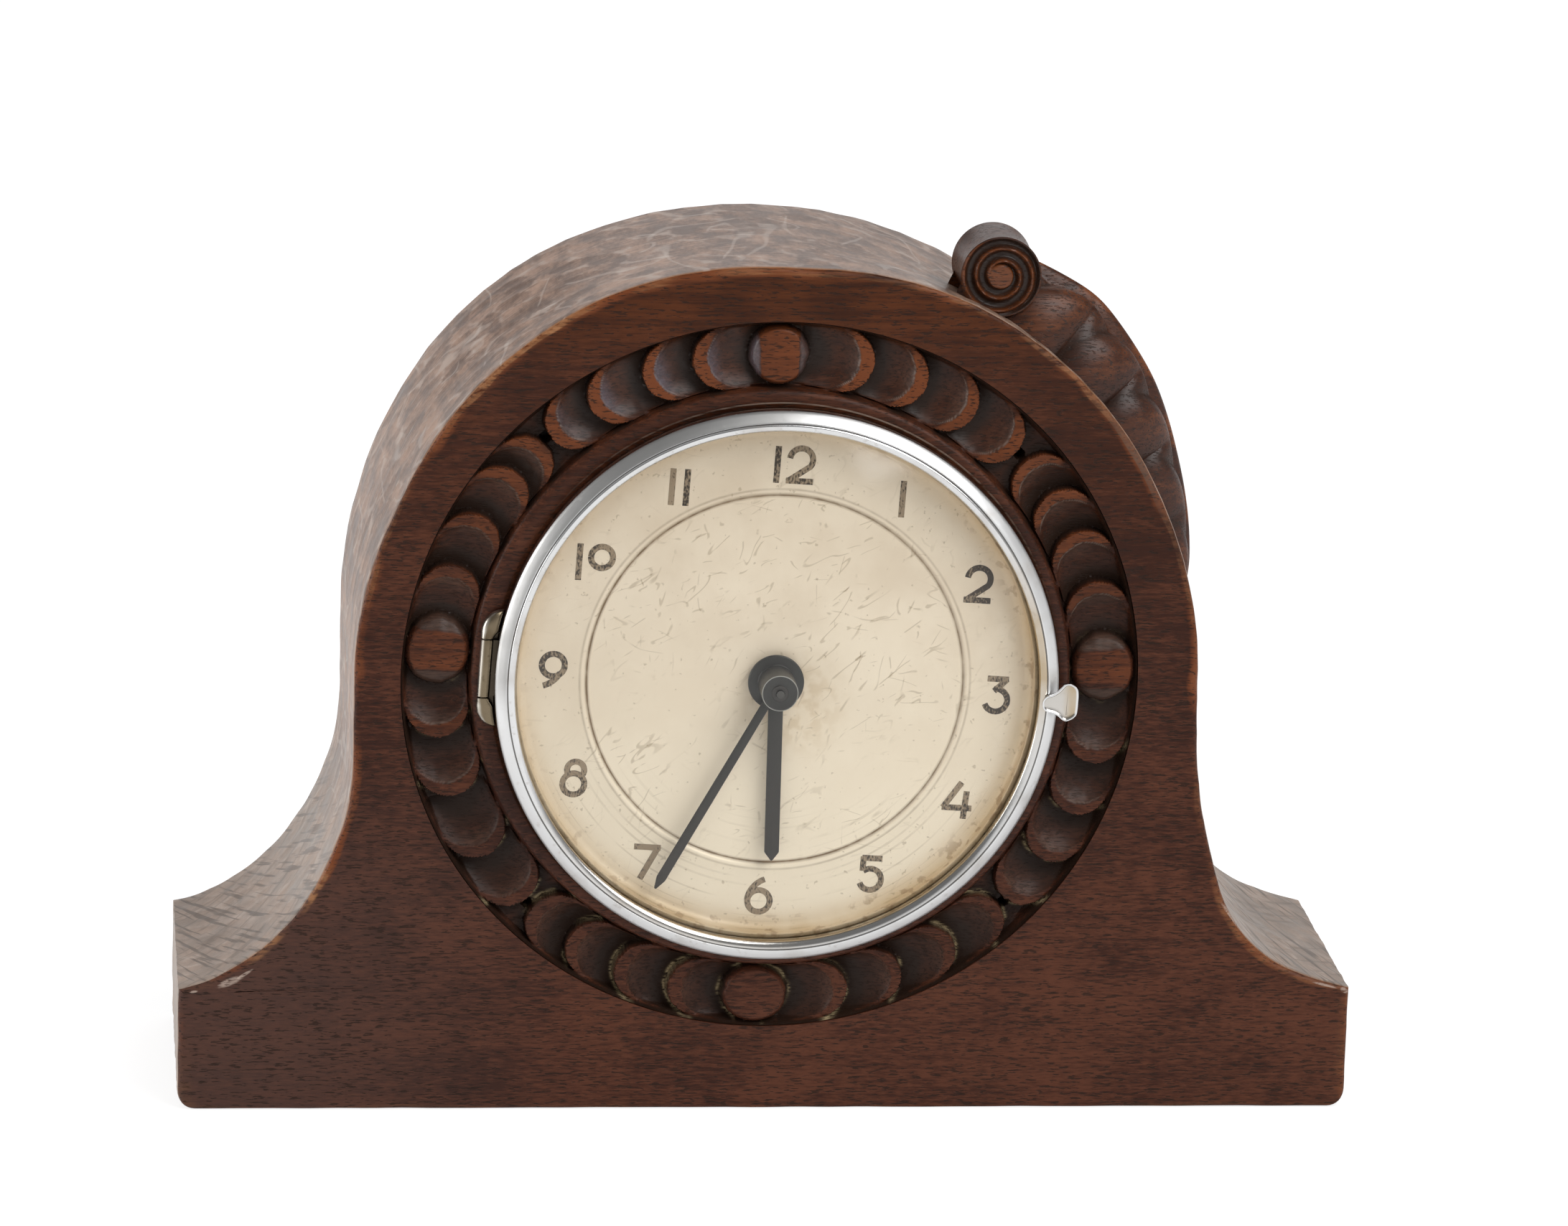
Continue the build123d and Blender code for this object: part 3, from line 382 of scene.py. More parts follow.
# %% [markdown]
# ## Helpers for finishes
#
# A finish starts with one shader and with the place on the piece. A fine scratch is the line where a noise
# passes through its middle value. Such lines curve freely, and a second noise breaks them into strokes.

# %% Helpers for finishes
def new_finish(name):
    material = bpy.data.materials.new(name)
    material.use_nodes = True
    start = Wire(material.node_tree)
    shader = material.node_tree.nodes["Principled BSDF"]
    place = start.node("TexCoord", out="Object")
    return material, shader, place


def feed(shader, name, value):
    if isinstance(value, Wire):
        value.tree.links.new(value.socket, shader.inputs[name])
    else:
        shader.inputs[name].default_value = value


def bump(place, height, depth, strength):
    sockets = {"Height": height, "Distance": depth * MM, "Strength": strength}
    return place.node("Bump", {}, sockets, out="Normal")


def hairs(place, shift, scale, width, density):
    field = place.node("Mapping", {}, {"Vector": place, "Location": shift})
    off = field.noise(scale, 1.5) - 0.5
    line = 1 - off.node("Math", {"operation": "ABSOLUTE"}, {0: off}).rise(width * 0.3, width)
    return line * field.noise(scale * 3.1, 1).rise(density, density + 0.06)


print("finishes can be started")

# %% [markdown]
# ## Colours and bruises of the wood
#
# Old oak has many colours: soot in its pores, wax in its corners, bare wood where an edge was hurt. Soot and
# bare wood also serve as painted shade and painted highlights, and a grey and bluish painted sheen stands in
# for reflections. They are named once here. The bruises on the feet are long ovals, each at its own slope,
# and noise makes their edges uneven; one oval on the right foot is a painted highlight. A painted picture
# would blur close by.

# %% Colours and bruises of the wood
# Soot for the pores, also used as painted shade in the hollows and recesses.
SOOT = (0.019, 0.0095, 0.006, 1)
WAX = (0.330, 0.255, 0.145, 1)
# Bare wood, also used for painted highlight lines.
BARE = (0.420, 0.325, 0.270, 1)
RIDGE = (0.400, 0.330, 0.285, 1)
TOP_BROWN = (0.082, 0.0215, 0.0045, 1)
TOP_DARK = (0.034, 0.0085, 0.0020, 1)
ARRIS = (0.300, 0.140, 0.062, 1)
# Painted sheen: grey and bluish colours that stand in for reflections in the hollows and on an edge.
FILM = (0.096, 0.066, 0.050, 1)
BLUE_FILM = (0.115, 0.110, 0.135, 1)
CORNER_VEIL = (0.066, 0.036, 0.029, 1)
# Grey of the feet, partly painted light.
FOOT_GREY = (0.320, 0.270, 0.228, 1)
GRAIN_LINE = (0.080, 0.062, 0.051, 1)
# The oval at x 158 on the right foot is a painted highlight line, the others are bruises.
BRUISES = ((-150.6, 37.0, 22, 4.0, 1.05), (-146.3, 39.3, 33, 2.6, 0.45), (-160.4, 34.2, 10, 1.2, 0.35),
           (131.4, 54.6, -53, 6.5, 0.55), (158.0, 35.7, -14, 3.6, 0.35), (163.6, 34.2, -30, 1.3, 0.7))


def bruised(place, uneven):
    x, y, z = [place.axis(name) for name in "XYZ"]
    total = 0
    for at_x, at_z, slope, long, tall in BRUISES:
        dx = x - at_x * MM
        dz = z - at_z * MM
        along = (dx * cos(radians(slope)) + dz * sin(radians(slope))) * (1 / (long * MM))
        across = (dz * cos(radians(slope)) - dx * sin(radians(slope))) * (1 / (tall * MM))
        total = 1 - (along * along + across * across + (uneven - 0.5) * 3).rise(0.3, 1.3) + total
    return total * (1 - y.rise(-0.044, -0.040))


print(len(BRUISES), "bruises")

# %% [markdown]
# ## Oak
#
# Waxed oak is dark red-brown, with the grain running along the case. Clouds, fine streaks, short dashes and
# pores are the same noise, stretched by different amounts. Marks on the mesh say where the wood is special:
# wear shows a warmer brown and edge is a rubbed arris. Grime, some dirt but mostly painted shade, darkens the
# hollows and recesses, wax lies in them, pale lines include painted highlights, and a painted sheen stands in
# for reflections. The colours are laid over each other in turn.

# %% Oak
def oak(name, dark, light, worn, shine, rough, coat, hurt=0):
    material, shader, place = new_finish(name)
    height = place.axis("Z")
    cloud = place.stretched((17, 17, 17)).noise(1, 4, 0.6)
    blotch = place.stretched((45, 70, 70)).noise(1, 3, 0.6)
    streaks = place.stretched((30, 640, 640)).noise(1, 5, 0.65)
    dashes = place.stretched((230, 1500, 1500)).noise(1, 3, 0.65)
    pores = place.stretched((330, 2100, 2100)).noise(1, 2).rise(0.565, 0.64)
    worn_part = (place.marked("wear") + (cloud - 0.5) * 0.9 + (streaks - 0.5) * 0.7).rise(0.30, 0.95)
    tone = cloud * 0.40 + blotch * 0.36 + streaks * 0.34 + dashes * 0.68
    tone = tone - height.rise(0.04, 0.13) * 0.10
    colour = tone.rise(0.69, 1.06).mix(dark, light)
    across = place.axis("X")
    corner = (1 - across.rise(-0.150, -0.040)) * (1 - height.rise(0.055, 0.110))
    colour = (corner * 0.6).mix(colour, CORNER_VEIL)
    brown = (streaks * 0.6 + blotch * 0.4).rise(0.38, 0.60).mix(TOP_DARK, TOP_BROWN)
    colour = (height.rise(0.10, 0.22) * 0.32 + height.rise(0.208, 0.232) * 0.55).mix(colour, brown)
    colour = worn_part.mix(colour, worn)
    colour = (pores * 0.78).mix(colour, SOOT)
    # Painted shade, with some dirt: the grime mark darkens hollows and recesses towards soot.
    colour = (place.marked("grime") * (0.5 + cloud)).rise(0.05, 1.0).mix(colour, SOOT)
    colour = (place.marked("wax") * dashes.rise(0.36, 0.56)).mix(colour, WAX)
    # The pale mark: pale lines on the lip and painted highlight lines at the inner edges of the lands.
    colour = (place.marked("pale") * streaks.rise(0.30, 0.55)).mix(colour, BARE)
    # Painted sheen: where the film mark lies, a grey colour, bluish high on the left, stands in for
    # reflections.
    film = (height.rise(0.185, 0.205) * (1 - across.rise(-0.006, 0.016))).mix(FILM, BLUE_FILM)
    colour = (place.marked("film") * (blotch * 0.8 + dashes * 1.4 - 0.35)).mix(colour, film)
    colour = (place.marked("edge") * streaks.rise(0.34, 0.62)).mix(colour, ARRIS)
    if hurt:
        # Bruises, and one painted highlight, in bare wood colour.
        colour = (bruised(place, dashes) * dashes.rise(0.36, 0.50) * hurt).mix(colour, BARE)
    feed(shader, "Base Color", colour)
    feed(shader, "Roughness", rough + (streaks - 0.5) * 0.25 + pores * 0.15 - worn_part * 0.06)
    feed(shader, "Specular IOR Level", shine)
    feed(shader, "Coat Weight", place.marked("gloss") * coat)
    feed(shader, "Coat Roughness", 0.32)
    feed(shader, "Normal", bump(place, streaks * 0.5 + dashes * 0.3 - pores * 0.7 + cloud * 0.6, 0.14, 0.7))
    return material


oak_face = oak("oak_face", dark=(0.030, 0.0092, 0.0050, 1), light=(0.094, 0.0312, 0.0160, 1),
               worn=(0.145, 0.041, 0.0135, 1), shine=0.14, rough=0.44, coat=0.32, hurt=0.7)
oak_leaf = oak("oak_leaf", dark=(0.030, 0.0095, 0.0055, 1), light=(0.080, 0.026, 0.013, 1),
               worn=(0.150, 0.046, 0.015, 1), shine=0.30, rough=0.36, coat=0.25)
print(oak_face.name, "and", oak_leaf.name, "ready")

# %% [markdown]
# ## Tooled oak
#
# The top and the sides were left from the tool, took less wax and are greyer; low on the feet the grey is
# partly painted light. Their noises are laid out along the outline and across it, from two marks on the mesh,
# so that they bend with the arch: smudges, fibres and pale scratches, and thin dark grain on the feet.

# %% Tooled oak
GRAIN_LEAN = (0, 0, 0.35)
CROSS_LEAN = (0, 0, -0.9)
PLAIN = (1, 1, 1)


def tooled_oak(name, dark, light, worn, shine, rough):
    material, shader, place = new_finish(name)
    sweep = place.node("CombineXYZ", {}, {0: place.marked("along"), 1: place.marked("deep"), 2: 0.0})
    height = place.axis("Z")
    low = 1 - height.rise(0.060, 0.100)
    cloud = sweep.stretched((0.030, 0.018, 1)).noise(1, 4, 0.6)
    smudge = sweep.stretched((0.135, 0.075, 1)).noise(1, 2, 0.5)
    fine = sweep.stretched((0.75, 0.30, 1)).noise(1, 3, 0.6)
    grain = sweep.stretched(PLAIN, GRAIN_LEAN).stretched((0.55, 0.030, 1)).noise(1, 2, 0.6).rise(0.52, 0.62)
    cross = sweep.stretched(PLAIN, CROSS_LEAN).stretched((0.32, 0.030, 1)).noise(1, 2, 0.6).rise(0.54, 0.63)
    grain = grain.most(cross * 0.5) * low * height.rise(0.028, 0.036)
    fibres = sweep.stretched((0.11, 1.5, 1)).noise(1, 3, 0.6)
    scratch = hairs(sweep.stretched((0.034, 0.012, 1)), (5, 1, 3), 1.0, 0.010, 0.45)
    scratch = scratch + hairs(sweep.stretched((0.018, 0.022, 1)), (1, 6, 2), 1.0, 0.008, 0.45)
    tone = cloud * 0.40 + smudge * 0.64 + fine * 0.30 + fibres * 0.42 + place.marked("tint") * 0.12
    colour = tone.rise(0.70, 1.12).mix(dark, light)
    # Low on the feet the colour turns a lighter grey, partly as painted light.
    colour = (low * 0.5).mix(colour, FOOT_GREY)
    colour = (place.marked("wear") + (cloud - 0.5) * 0.9).rise(0.25, 0.95).mix(colour, worn)
    bared = place.marked("ridge") * smudge.rise(0.36, 0.62) * 0.5 + scratch * (0.36 - low * 0.24)
    colour = bared.mix(colour, RIDGE)
    colour = (grain * 0.68).mix(colour, GRAIN_LINE)
    colour = (place.marked("edge") * fine.rise(0.34, 0.56)).mix(colour, ARRIS)
    feed(shader, "Base Color", colour)
    feed(shader, "Roughness", rough + (smudge - 0.5) * 0.3)
    feed(shader, "Specular IOR Level", shine)
    feed(shader, "Normal", bump(place, fine * 0.25 + fibres * 0.35 + smudge * 0.9 - grain * 0.3, 0.12, 0.7))
    return material


oak_tooled = tooled_oak("oak_tooled", dark=(0.092, 0.051, 0.034, 1), light=(0.315, 0.202, 0.147, 1),
                        worn=(0.230, 0.105, 0.048, 1), shine=0.24, rough=0.40)
print(oak_tooled.name, "ready")

# %% [markdown]
# ## Chrome, brass and steel
#
# The bezel's plating is bright, with pits and dull spots. Its outer bevel is brushed, and dirt and painted
# shade darken the fine line on it. The hinge has lost its plating. The movement is lacquered brass and plain
# steel, and the pan behind the dial has gone brown. All are one finish with other colours. Marks on the mesh
# make it dull grey, which on the bezel is a painted darker reflection; tarnished; dark with dirt and painted
# shade; or bright with use and a painted highlight. Where a mesh has no such mark they count as nothing.

# %% Chrome, brass and steel
DULL_PLATING = (0.40, 0.395, 0.385, 1)
TARNISH = (0.43, 0.32, 0.18, 1)
RUBBED = (0.80, 0.77, 0.70, 1)
METAL_DIRT = (0.042, 0.034, 0.026, 1)


def metal(name, colour, stain, rough, pits):
    material, shader, place = new_finish(name)
    cloud = place.stretched((90, 90, 90)).noise(1, 3)
    fine = place.stretched((900, 900, 900)).noise(1, 3)
    spots = place.stretched((420, 420, 420)).noise(1, 2).rise(0.62, 0.74) * pits
    brushed = place.marked("brushed")
    shown = (cloud.rise(0.48, 0.75) * 0.6 + spots).mix(colour, stain)
    # The dull mark greys the plating; on the bezel it is a painted darker reflection.
    shown = (place.marked("dull") * (0.55 + cloud * 0.9)).mix(shown, DULL_PLATING)
    shown = (place.marked("tarnish") * (0.35 + cloud * 1.1)).mix(shown, TARNISH)
    # The rubbed mark: wear, and on the hinge a painted highlight along its outer side.
    shown = place.marked("rubbed").mix(shown, RUBBED)
    # The grime mark: dirt, and painted shade on the bezel's low side, the hinge's inner side and hidden
    # plates.
    shown = (place.marked("grime") * 0.9).mix(shown, METAL_DIRT)
    feed(shader, "Base Color", shown)
    feed(shader, "Metallic", 1.0)
    matt = rough + cloud.rise(0.4, 0.8) * 0.12 + fine * 0.05 + spots * 0.3 + brushed * 0.26
    feed(shader, "Roughness", matt)
    feed(shader, "Normal", bump(place, fine * 0.5 - spots, 0.03, 0.35))
    return material


chrome = metal("chrome", (0.70, 0.70, 0.70, 1), (0.50, 0.47, 0.44, 1), 0.10, 0.35)
hinge_metal = metal("hinge_metal", (0.200, 0.158, 0.104, 1), (0.085, 0.060, 0.034, 1), 0.24, 0.8)
brass = metal("brass", (0.76, 0.53, 0.22, 1), (0.40, 0.24, 0.08, 1), 0.22, 0.5)
old_brass = metal("old_brass", (0.440, 0.310, 0.165, 1), (0.180, 0.115, 0.055, 1), 0.45, 0.8)
steel = metal("steel", (0.50, 0.51, 0.53, 1), (0.30, 0.28, 0.26, 1), 0.26, 0.5)
dark_steel = metal("dark_steel", (0.085, 0.082, 0.078, 1), (0.05, 0.046, 0.042, 1), 0.40, 0.5)
print("metals ready")

# %% [markdown]
# ## Silvered dial
#
# The silvered dial has yellowed. Brown stains gather at its rim, more to the right and below, and under the
# hub. Short scratches cover its middle. Its lower part is painted lighter, as painted light. Rings of wear,
# low on the dial, come from the distance to the centre, which one node measures, so no picture has to be
# wrapped round the dial.

# %% Silvered dial
CREAM = (0.700, 0.585, 0.452, 1)
PALE_CREAM = (0.795, 0.687, 0.550, 1)
# Lighter cream for the lower part of the dial: painted light.
LOW_CREAM = (0.930, 0.830, 0.668, 1)
RIM_STAIN = (0.52, 0.345, 0.150, 1)
SPOT = (0.25, 0.135, 0.055, 1)
HUB_STAIN = (0.46, 0.300, 0.130, 1)
STEP_DIRT = (0.170, 0.100, 0.042, 1)
SCRATCH = (0.27, 0.185, 0.095, 1)
RINGS_PER_METRE = 900
MIDDLE = tuple(dial_points(0, 0, -2.5))
BELOW_HUB = tuple(dial_points(5.5, -6.5, -2.5))
SCRATCHES = ((35, (0, 0, 0), 95, 0.010), (52, (3, 1, 2), 130, 0.012), (-15, (7, 5, 1), 110, 0.010),
             (80, (2, 8, 4), 120, 0.010), (20, (9, 2, 6), 190, 0.014))


def silvered_dial():
    material, shader, place = new_finish("silvered")
    reach = place.distance(MIDDLE)
    height = place.axis("Z")
    aside = place.axis("X")
    corner = (aside * 8 - (height - DIAL_Z * MM) * 7).rise(-0.55, 0.55)
    cloud = place.stretched((38, 38, 38)).noise(1, 4, 0.6)
    blotch = place.stretched((260, 260, 260)).noise(1, 3)
    specks = place.stretched((700, 700, 700)).noise(1, 2).rise(0.68, 0.73)
    strokes = 0
    for turn, shift, scale, width in SCRATCHES:
        laid = place.stretched(PLAIN, (0, radians(turn), 0)).stretched((0.30, 1, 1))
        strokes = hairs(laid, shift, scale, width, 0.55) + strokes
    strokes = strokes * (1 - reach.rise(0.048, 0.060) * 0.75) * cloud.rise(0.38, 0.56)
    ring_sockets = {"W": reach * RINGS_PER_METRE, "Scale": 1.0, "Detail": 1.0}
    rings = place.node("TexNoise", {"noise_dimensions": "1D"}, ring_sockets)
    rings = rings.rise(0.58, 0.66) * reach.rise(0.034, 0.046)
    rings = rings * (1 - height.rise(0.075, 0.105)) * cloud.rise(0.4, 0.6)
    rim = reach.rise(0.0645, 0.0730) * (cloud.rise(0.30, 0.60) * 0.5 + corner * 0.5)
    spots = blotch.rise(0.56, 0.64) * reach.rise(0.0660, 0.0715) * (0.25 + corner * 0.75)
    stained = place.distance(BELOW_HUB)
    hub = (1 - stained.rise(0.004, 0.020)) * (0.35 + blotch.rise(0.40, 0.60) * 0.65)
    colour = cloud.rise(0.3, 0.7).mix(CREAM, PALE_CREAM)
    # Painted light: the lower part of the dial is made lighter.
    colour = ((1 - height.rise(0.060, 0.165)) * 0.70).mix(colour, LOW_CREAM)
    colour = (rim * 0.72).mix(colour, RIM_STAIN)
    colour = (spots * 0.5).mix(colour, SPOT)
    colour = (hub * 0.42).mix(colour, HUB_STAIN)
    colour = (place.marked("grime") * (0.40 + blotch * 1.4)).mix(colour, STEP_DIRT)
    colour = (strokes * 0.38 + rings * 0.30 + specks * 0.4).mix(colour, SCRATCH)
    feed(shader, "Base Color", colour)
    feed(shader, "Metallic", 0.12)
    feed(shader, "Roughness", 0.42 + (cloud - 0.5) * 0.2)
    feed(shader, "Normal", bump(place, blotch * 0.4 - strokes * 0.5, 0.02, 0.5))
    return material


silvered = silvered_dial()
print(silvered.name, "ready")

# %% [markdown]
# ## Ink and lacquer
#
# The ink of the numerals is patchy, and some are nearly rubbed away. The hands are lacquered black, with a
# deeper black on their hubs and a painted glint on one thin rim. Both finishes are a dark coat with gaps,
# which a coarse and a fine noise open together, so one function makes them.

# %% Ink and lacquer
DEEP_BLACK = (0.012, 0.012, 0.0105, 1)
BRIGHT_RIM = (0.40, 0.40, 0.38, 1)


def dark_coat(name, colour, faded, rough, gaps):
    material, shader, place = new_finish(name)
    cloud = place.stretched((75, 75, 75)).noise(1, 3)
    grain = place.stretched((1900, 1900, 1100)).noise(1, 2)
    lost = (cloud * 0.45 + grain * 0.55 + place.marked("faded") * 0.14).rise(0.50 - gaps, 0.64 - gaps)
    shown = lost.mix(colour, faded)
    shown = place.marked("deep").mix(shown, DEEP_BLACK)
    # Painted highlight: the bright mark paints a glint.
    shown = place.marked("bright").mix(shown, BRIGHT_RIM)
    feed(shader, "Base Color", shown)
    feed(shader, "Roughness", rough + (grain - 0.5) * 0.2)
    feed(shader, "Normal", bump(place, grain, 0.02, 0.3))
    return material


ink = dark_coat("ink", (0.032, 0.020, 0.012, 1), (0.300, 0.225, 0.150, 1), 0.6, 0.03)
lacquer = dark_coat("lacquer", (0.014, 0.0095, 0.0075, 1), (0.028, 0.020, 0.016, 1), 0.40, 0.0)
print(ink.name, "and", lacquer.name, "ready")

# %% [markdown]
# ## Glass
#
# The dome is thin clear glass. The angle that it is seen at decides how much it mirrors and how much it lets
# through. Bent light would need many samples and a thin shell hardly bends it, so a mirror is mixed with a
# clear shader. A faint smear on the glass keeps what it mirrors soft.

# %% Glass
CLEAR = (0.985, 0.985, 0.975, 1)
MIRROR_AT_RIM = 0.9
MIRROR_HEAD_ON = 0.018


def clear_glass():
    material = bpy.data.materials.new("glass")
    material.use_nodes = True
    tree = material.node_tree
    start = Wire(tree)
    shader = tree.nodes["Principled BSDF"]
    feed(shader, "Base Color", (1, 1, 1, 1))
    feed(shader, "Metallic", 1.0)
    smear = start.node("TexCoord", out="Object").stretched((60, 60, 60)).noise(1, 3)
    feed(shader, "Roughness", smear.between(0.06, 0.16))
    through = start.node("BsdfTransparent", {}, {"Color": CLEAR}, out="BSDF")
    facing = start.node("LayerWeight", {}, {"Blend": 0.5}, out="Facing")
    edge = facing * facing * facing * facing * facing * MIRROR_AT_RIM + MIRROR_HEAD_ON
    both = start.node("MixShader", {}, {0: edge, 1: through, 2: Wire(tree, shader.outputs[0])}, out=0)
    tree.links.new(both.socket, tree.nodes["Material Output"].inputs["Surface"])
    return material


glass = clear_glass()
print(glass.name, "mirrors", MIRROR_HEAD_ON, "when seen head on")

# %% [markdown]
# ## Case outline
#
# The outline runs from the middle of the underside, up the right foot, in along the sweep, over the arch
# and down the left side. Each stretch has its own number of points, so its corners fall on points. At each
# point the outward direction is kept too, because every cut is made along it.

# %% Case outline
HALF_BASE = 165.0
FOOT = 35.0
SWEEP_TOP = 100.0
ARCH = 117.5
CORNER = 5.0
sweep_x = (HALF_BASE ** 2 + (SWEEP_TOP - FOOT) ** 2 - ARCH ** 2) / (2 * (HALF_BASE - ARCH))
sweep_radius = sweep_x - ARCH
sweep_end = np.arctan2(FOOT - SWEEP_TOP, HALF_BASE - sweep_x)


def unit(rows):
    return rows / np.linalg.norm(rows, axis=1)[:, None]


def stretch(start, end, count):
    t = np.arange(count)[:, None] / count
    return np.array(start) * (1 - t) + np.array(end) * t


def bend(centre, radius, start, end, count):
    a = start + (end - start) * np.arange(count) / count
    return np.stack([centre[0] + radius * np.cos(a), centre[1] + radius * np.sin(a)], axis=1)


half = np.concatenate([
    stretch((0, 0), (HALF_BASE - CORNER, 0), 44),
    bend((HALF_BASE - CORNER, CORNER), CORNER, -pi / 2, 0, 8),
    stretch((HALF_BASE, CORNER), (HALF_BASE, FOOT), 28),
    bend((sweep_x, SWEEP_TOP), sweep_radius, sweep_end + 2 * pi, pi, 84),
    stretch((ARCH, SWEEP_TOP), (ARCH, DIAL_Z), 22),
    bend((0, DIAL_Z), ARCH, 0, pi / 2, 186),
])
top = np.array([[0.0, DIAL_Z + ARCH]])
outline = np.concatenate([half, top, half[:0:-1] * (-1, 1)])
step_on = np.roll(outline, -1, axis=0) - outline
step_back = outline - np.roll(outline, 1, axis=0)
run = unit(unit(step_on) + unit(step_back))
outward = np.stack([run[:, 1], -run[:, 0]], axis=1)
travel = np.concatenate([[0], np.cumsum(np.linalg.norm(step_on, axis=1))[:-1]])
print("outline", len(outline), "points,", round(travel[-1]), "mm round")

# %% [markdown]
# ## Tool marks
#
# The top and the sides are finished with an adze. Each stroke leaves a shallow scoop, longer than wide and
# set askew. The surface is the deepest of the scoops at each place, so ridges stay where two scoops meet.
# A bump in the finish would be flat at the edges, so the points move. The ridge and the scoop's own tint
# are kept for the finish.

# %% Tool marks
EDGE = 1.6
SCOOP_REACH = 12
RIDGE_WIDTH = 0.016


def tool_marks(s, y):
    chance = np.random.default_rng(11)
    step_s, step_y = 10.5, 8.2
    deepest, second, tint = np.zeros_like(s), np.zeros_like(s), np.zeros_like(s)
    order = np.argsort(s)
    ordered = s[order]
    for row in range(-1, int((BACK - FRONT) / step_y) + 3):
        for k in range(-1, int(ordered[-1] / step_s) + 2):
            centre_s = (k + 0.5 * (row % 2) + 0.35 * row) * step_s + chance.uniform(-3.4, 3.4)
            centre_s = centre_s % ordered[-1]
            centre_y = FRONT + row * step_y + chance.uniform(-2.4, 2.4)
            lean = radians(chance.uniform(10, 65))
            depth = chance.uniform(0.10, 0.27)
            longer, shorter = chance.uniform(260, 480), chance.uniform(80, 135)
            shade = chance.uniform(-0.5, 0.5)
            first, last = np.searchsorted(ordered, (centre_s - SCOOP_REACH, centre_s + SCOOP_REACH))
            near = order[first:last]
            ds, dy = s[near] - centre_s, y[near] - centre_y
            along = ds * cos(lean) + dy * sin(lean)
            across = dy * cos(lean) - ds * sin(lean)
            scoop = depth - along ** 2 / longer - across ** 2 / shorter
            second[near] = np.maximum(second[near], np.minimum(scoop, deepest[near]))
            tint[near] = np.where(scoop > deepest[near], shade, tint[near])
            deepest[near] = np.maximum(deepest[near], scoop)
    return deepest, hump(deepest, second, RIDGE_WIDTH), tint


outer_y = np.linspace(FRONT + EDGE, BACK - EDGE, 76)
all_s, all_y = np.meshgrid(travel, outer_y, indexing="ij")
tooling = tool_marks(all_s.ravel(), all_y.ravel())
outer_cut, outer_ridge, outer_tint = [part.reshape(all_s.shape) for part in tooling]
print("deepest mark", round(outer_cut.max(), 2), "mm")

# %% [markdown]
# ## Spokes
#
# The case will be one skin between the round recess of the carved ring and the outline. So each point of the
# outline gets a spoke, a bearing from the dial's centre. The ring is cut by hand and is not quite round: a
# few waves through eight measured shifts give its radius at any bearing, for its recess too.

# %% Spokes
OUTER_SHIFT = (0.0, 0.8, 0.8, 1.6, 2.9, 0.8, -1.7, -1.2)
INNER_SHIFT = (-0.3, 0.0, 0.3, 2.1, 2.2, 0.6, -0.8, -0.2)


def off_round(shifts, angle):
    waves = np.fft.rfft(shifts) / len(shifts)
    total = waves[0].real + 0 * angle
    for k in (1, 2, 3):
        total = total + 2 * (waves[k].real * np.cos(k * angle) - waves[k].imag * np.sin(k * angle))
    return total


quarter = travel[len(half)] - pi / 2 * ARCH
SPOKE_TRAVEL = (0, HALF_BASE, HALF_BASE + FOOT, quarter - (DIAL_Z - SWEEP_TOP), quarter)
SPOKE_ANGLE = (-90, -70, -58, -6, 0)
far_side = travel > travel[len(half)]
from_middle = np.where(far_side, 2 * travel[len(half)] - travel, travel)
over_arch = np.maximum(from_middle - quarter, 0) / ARCH
swing = np.radians(np.interp(from_middle, SPOKE_TRAVEL, SPOKE_ANGLE)) + over_arch
swing = np.where(far_side, pi - swing, swing)
spoke = np.stack([np.cos(swing), np.sin(swing)], axis=1)
bearing = np.degrees(swing)
print("spokes from", round(bearing.min()), "to", round(bearing.max()), "degrees")

# %% [markdown]
# ## Edges off true
#
# The arch's front edge dips in two places and is full in others. The right sweep is hollower low down and
# fuller higher up, the left one is a little hollow, and the back edge is full at the upper left. The insets
# were measured at a few heights and bearings. They are blended, and a window takes out the kinks.

# %% Edges off true
ARCH_BEARINGS = (0, 10, 22, 40, 60, 70, 88, 100, 112, 135, 150, 165, 185, 205)
ARCH_FULLNESS = (0, 0.2, 0.9, 1.8, 1.9, 1.4, 0.3, 0.7, 1.1, 0.9, 0.5, -0.2, -0.4, 0)
RIGHT_HEIGHTS = (35, 37, 40, 45, 50, 55, 60, 65, 70, 75, 80, 90, 100, 110, 123, 145, 170)
RIGHT_INSETS = (0, 0.5, 1.6, 3.1, 3.3, 2.8, 1.7, 0.4, -0.9, -1.7, -2.2, -2.5, -1.9, -1.3, -1.0, -0.7, 0)
LEFT_HEIGHTS = (35, 38, 48, 58, 70)
LEFT_INSETS = (0.2, 0.8, 0.9, 0.5, 0)
SWEEP_FROM = 60
KINK = 7
dip = 0.9 * hump(bearing, 153, 11) + 0.7 * hump(bearing, 88, 8) - 0.8 * hump(bearing, 117, 13)
dip -= np.interp(bearing, ARCH_BEARINGS, ARCH_FULLNESS, 0, 0)
full_back = 3.3 * hump(bearing, 129, 29)
across_x, up_z = outline.T
on_right = np.interp(up_z, RIGHT_HEIGHTS, RIGHT_INSETS, 0, 0) * (across_x > SWEEP_FROM)
on_left = np.interp(up_z, LEFT_HEIGHTS, LEFT_INSETS, 0, 0) * (across_x < -SWEEP_FROM)
window = np.hanning(2 * KINK + 1)
off_true = np.pad(on_right + on_left, KINK, mode="wrap")
off_true = np.convolve(off_true, window / window.sum(), mode="valid")


def at_circle(radius, y):
    flat = spoke * np.reshape(radius, (-1, 1)) + (0, DIAL_Z)
    return np.stack([flat[:, 0], np.full(len(flat), y), flat[:, 1]], axis=1)


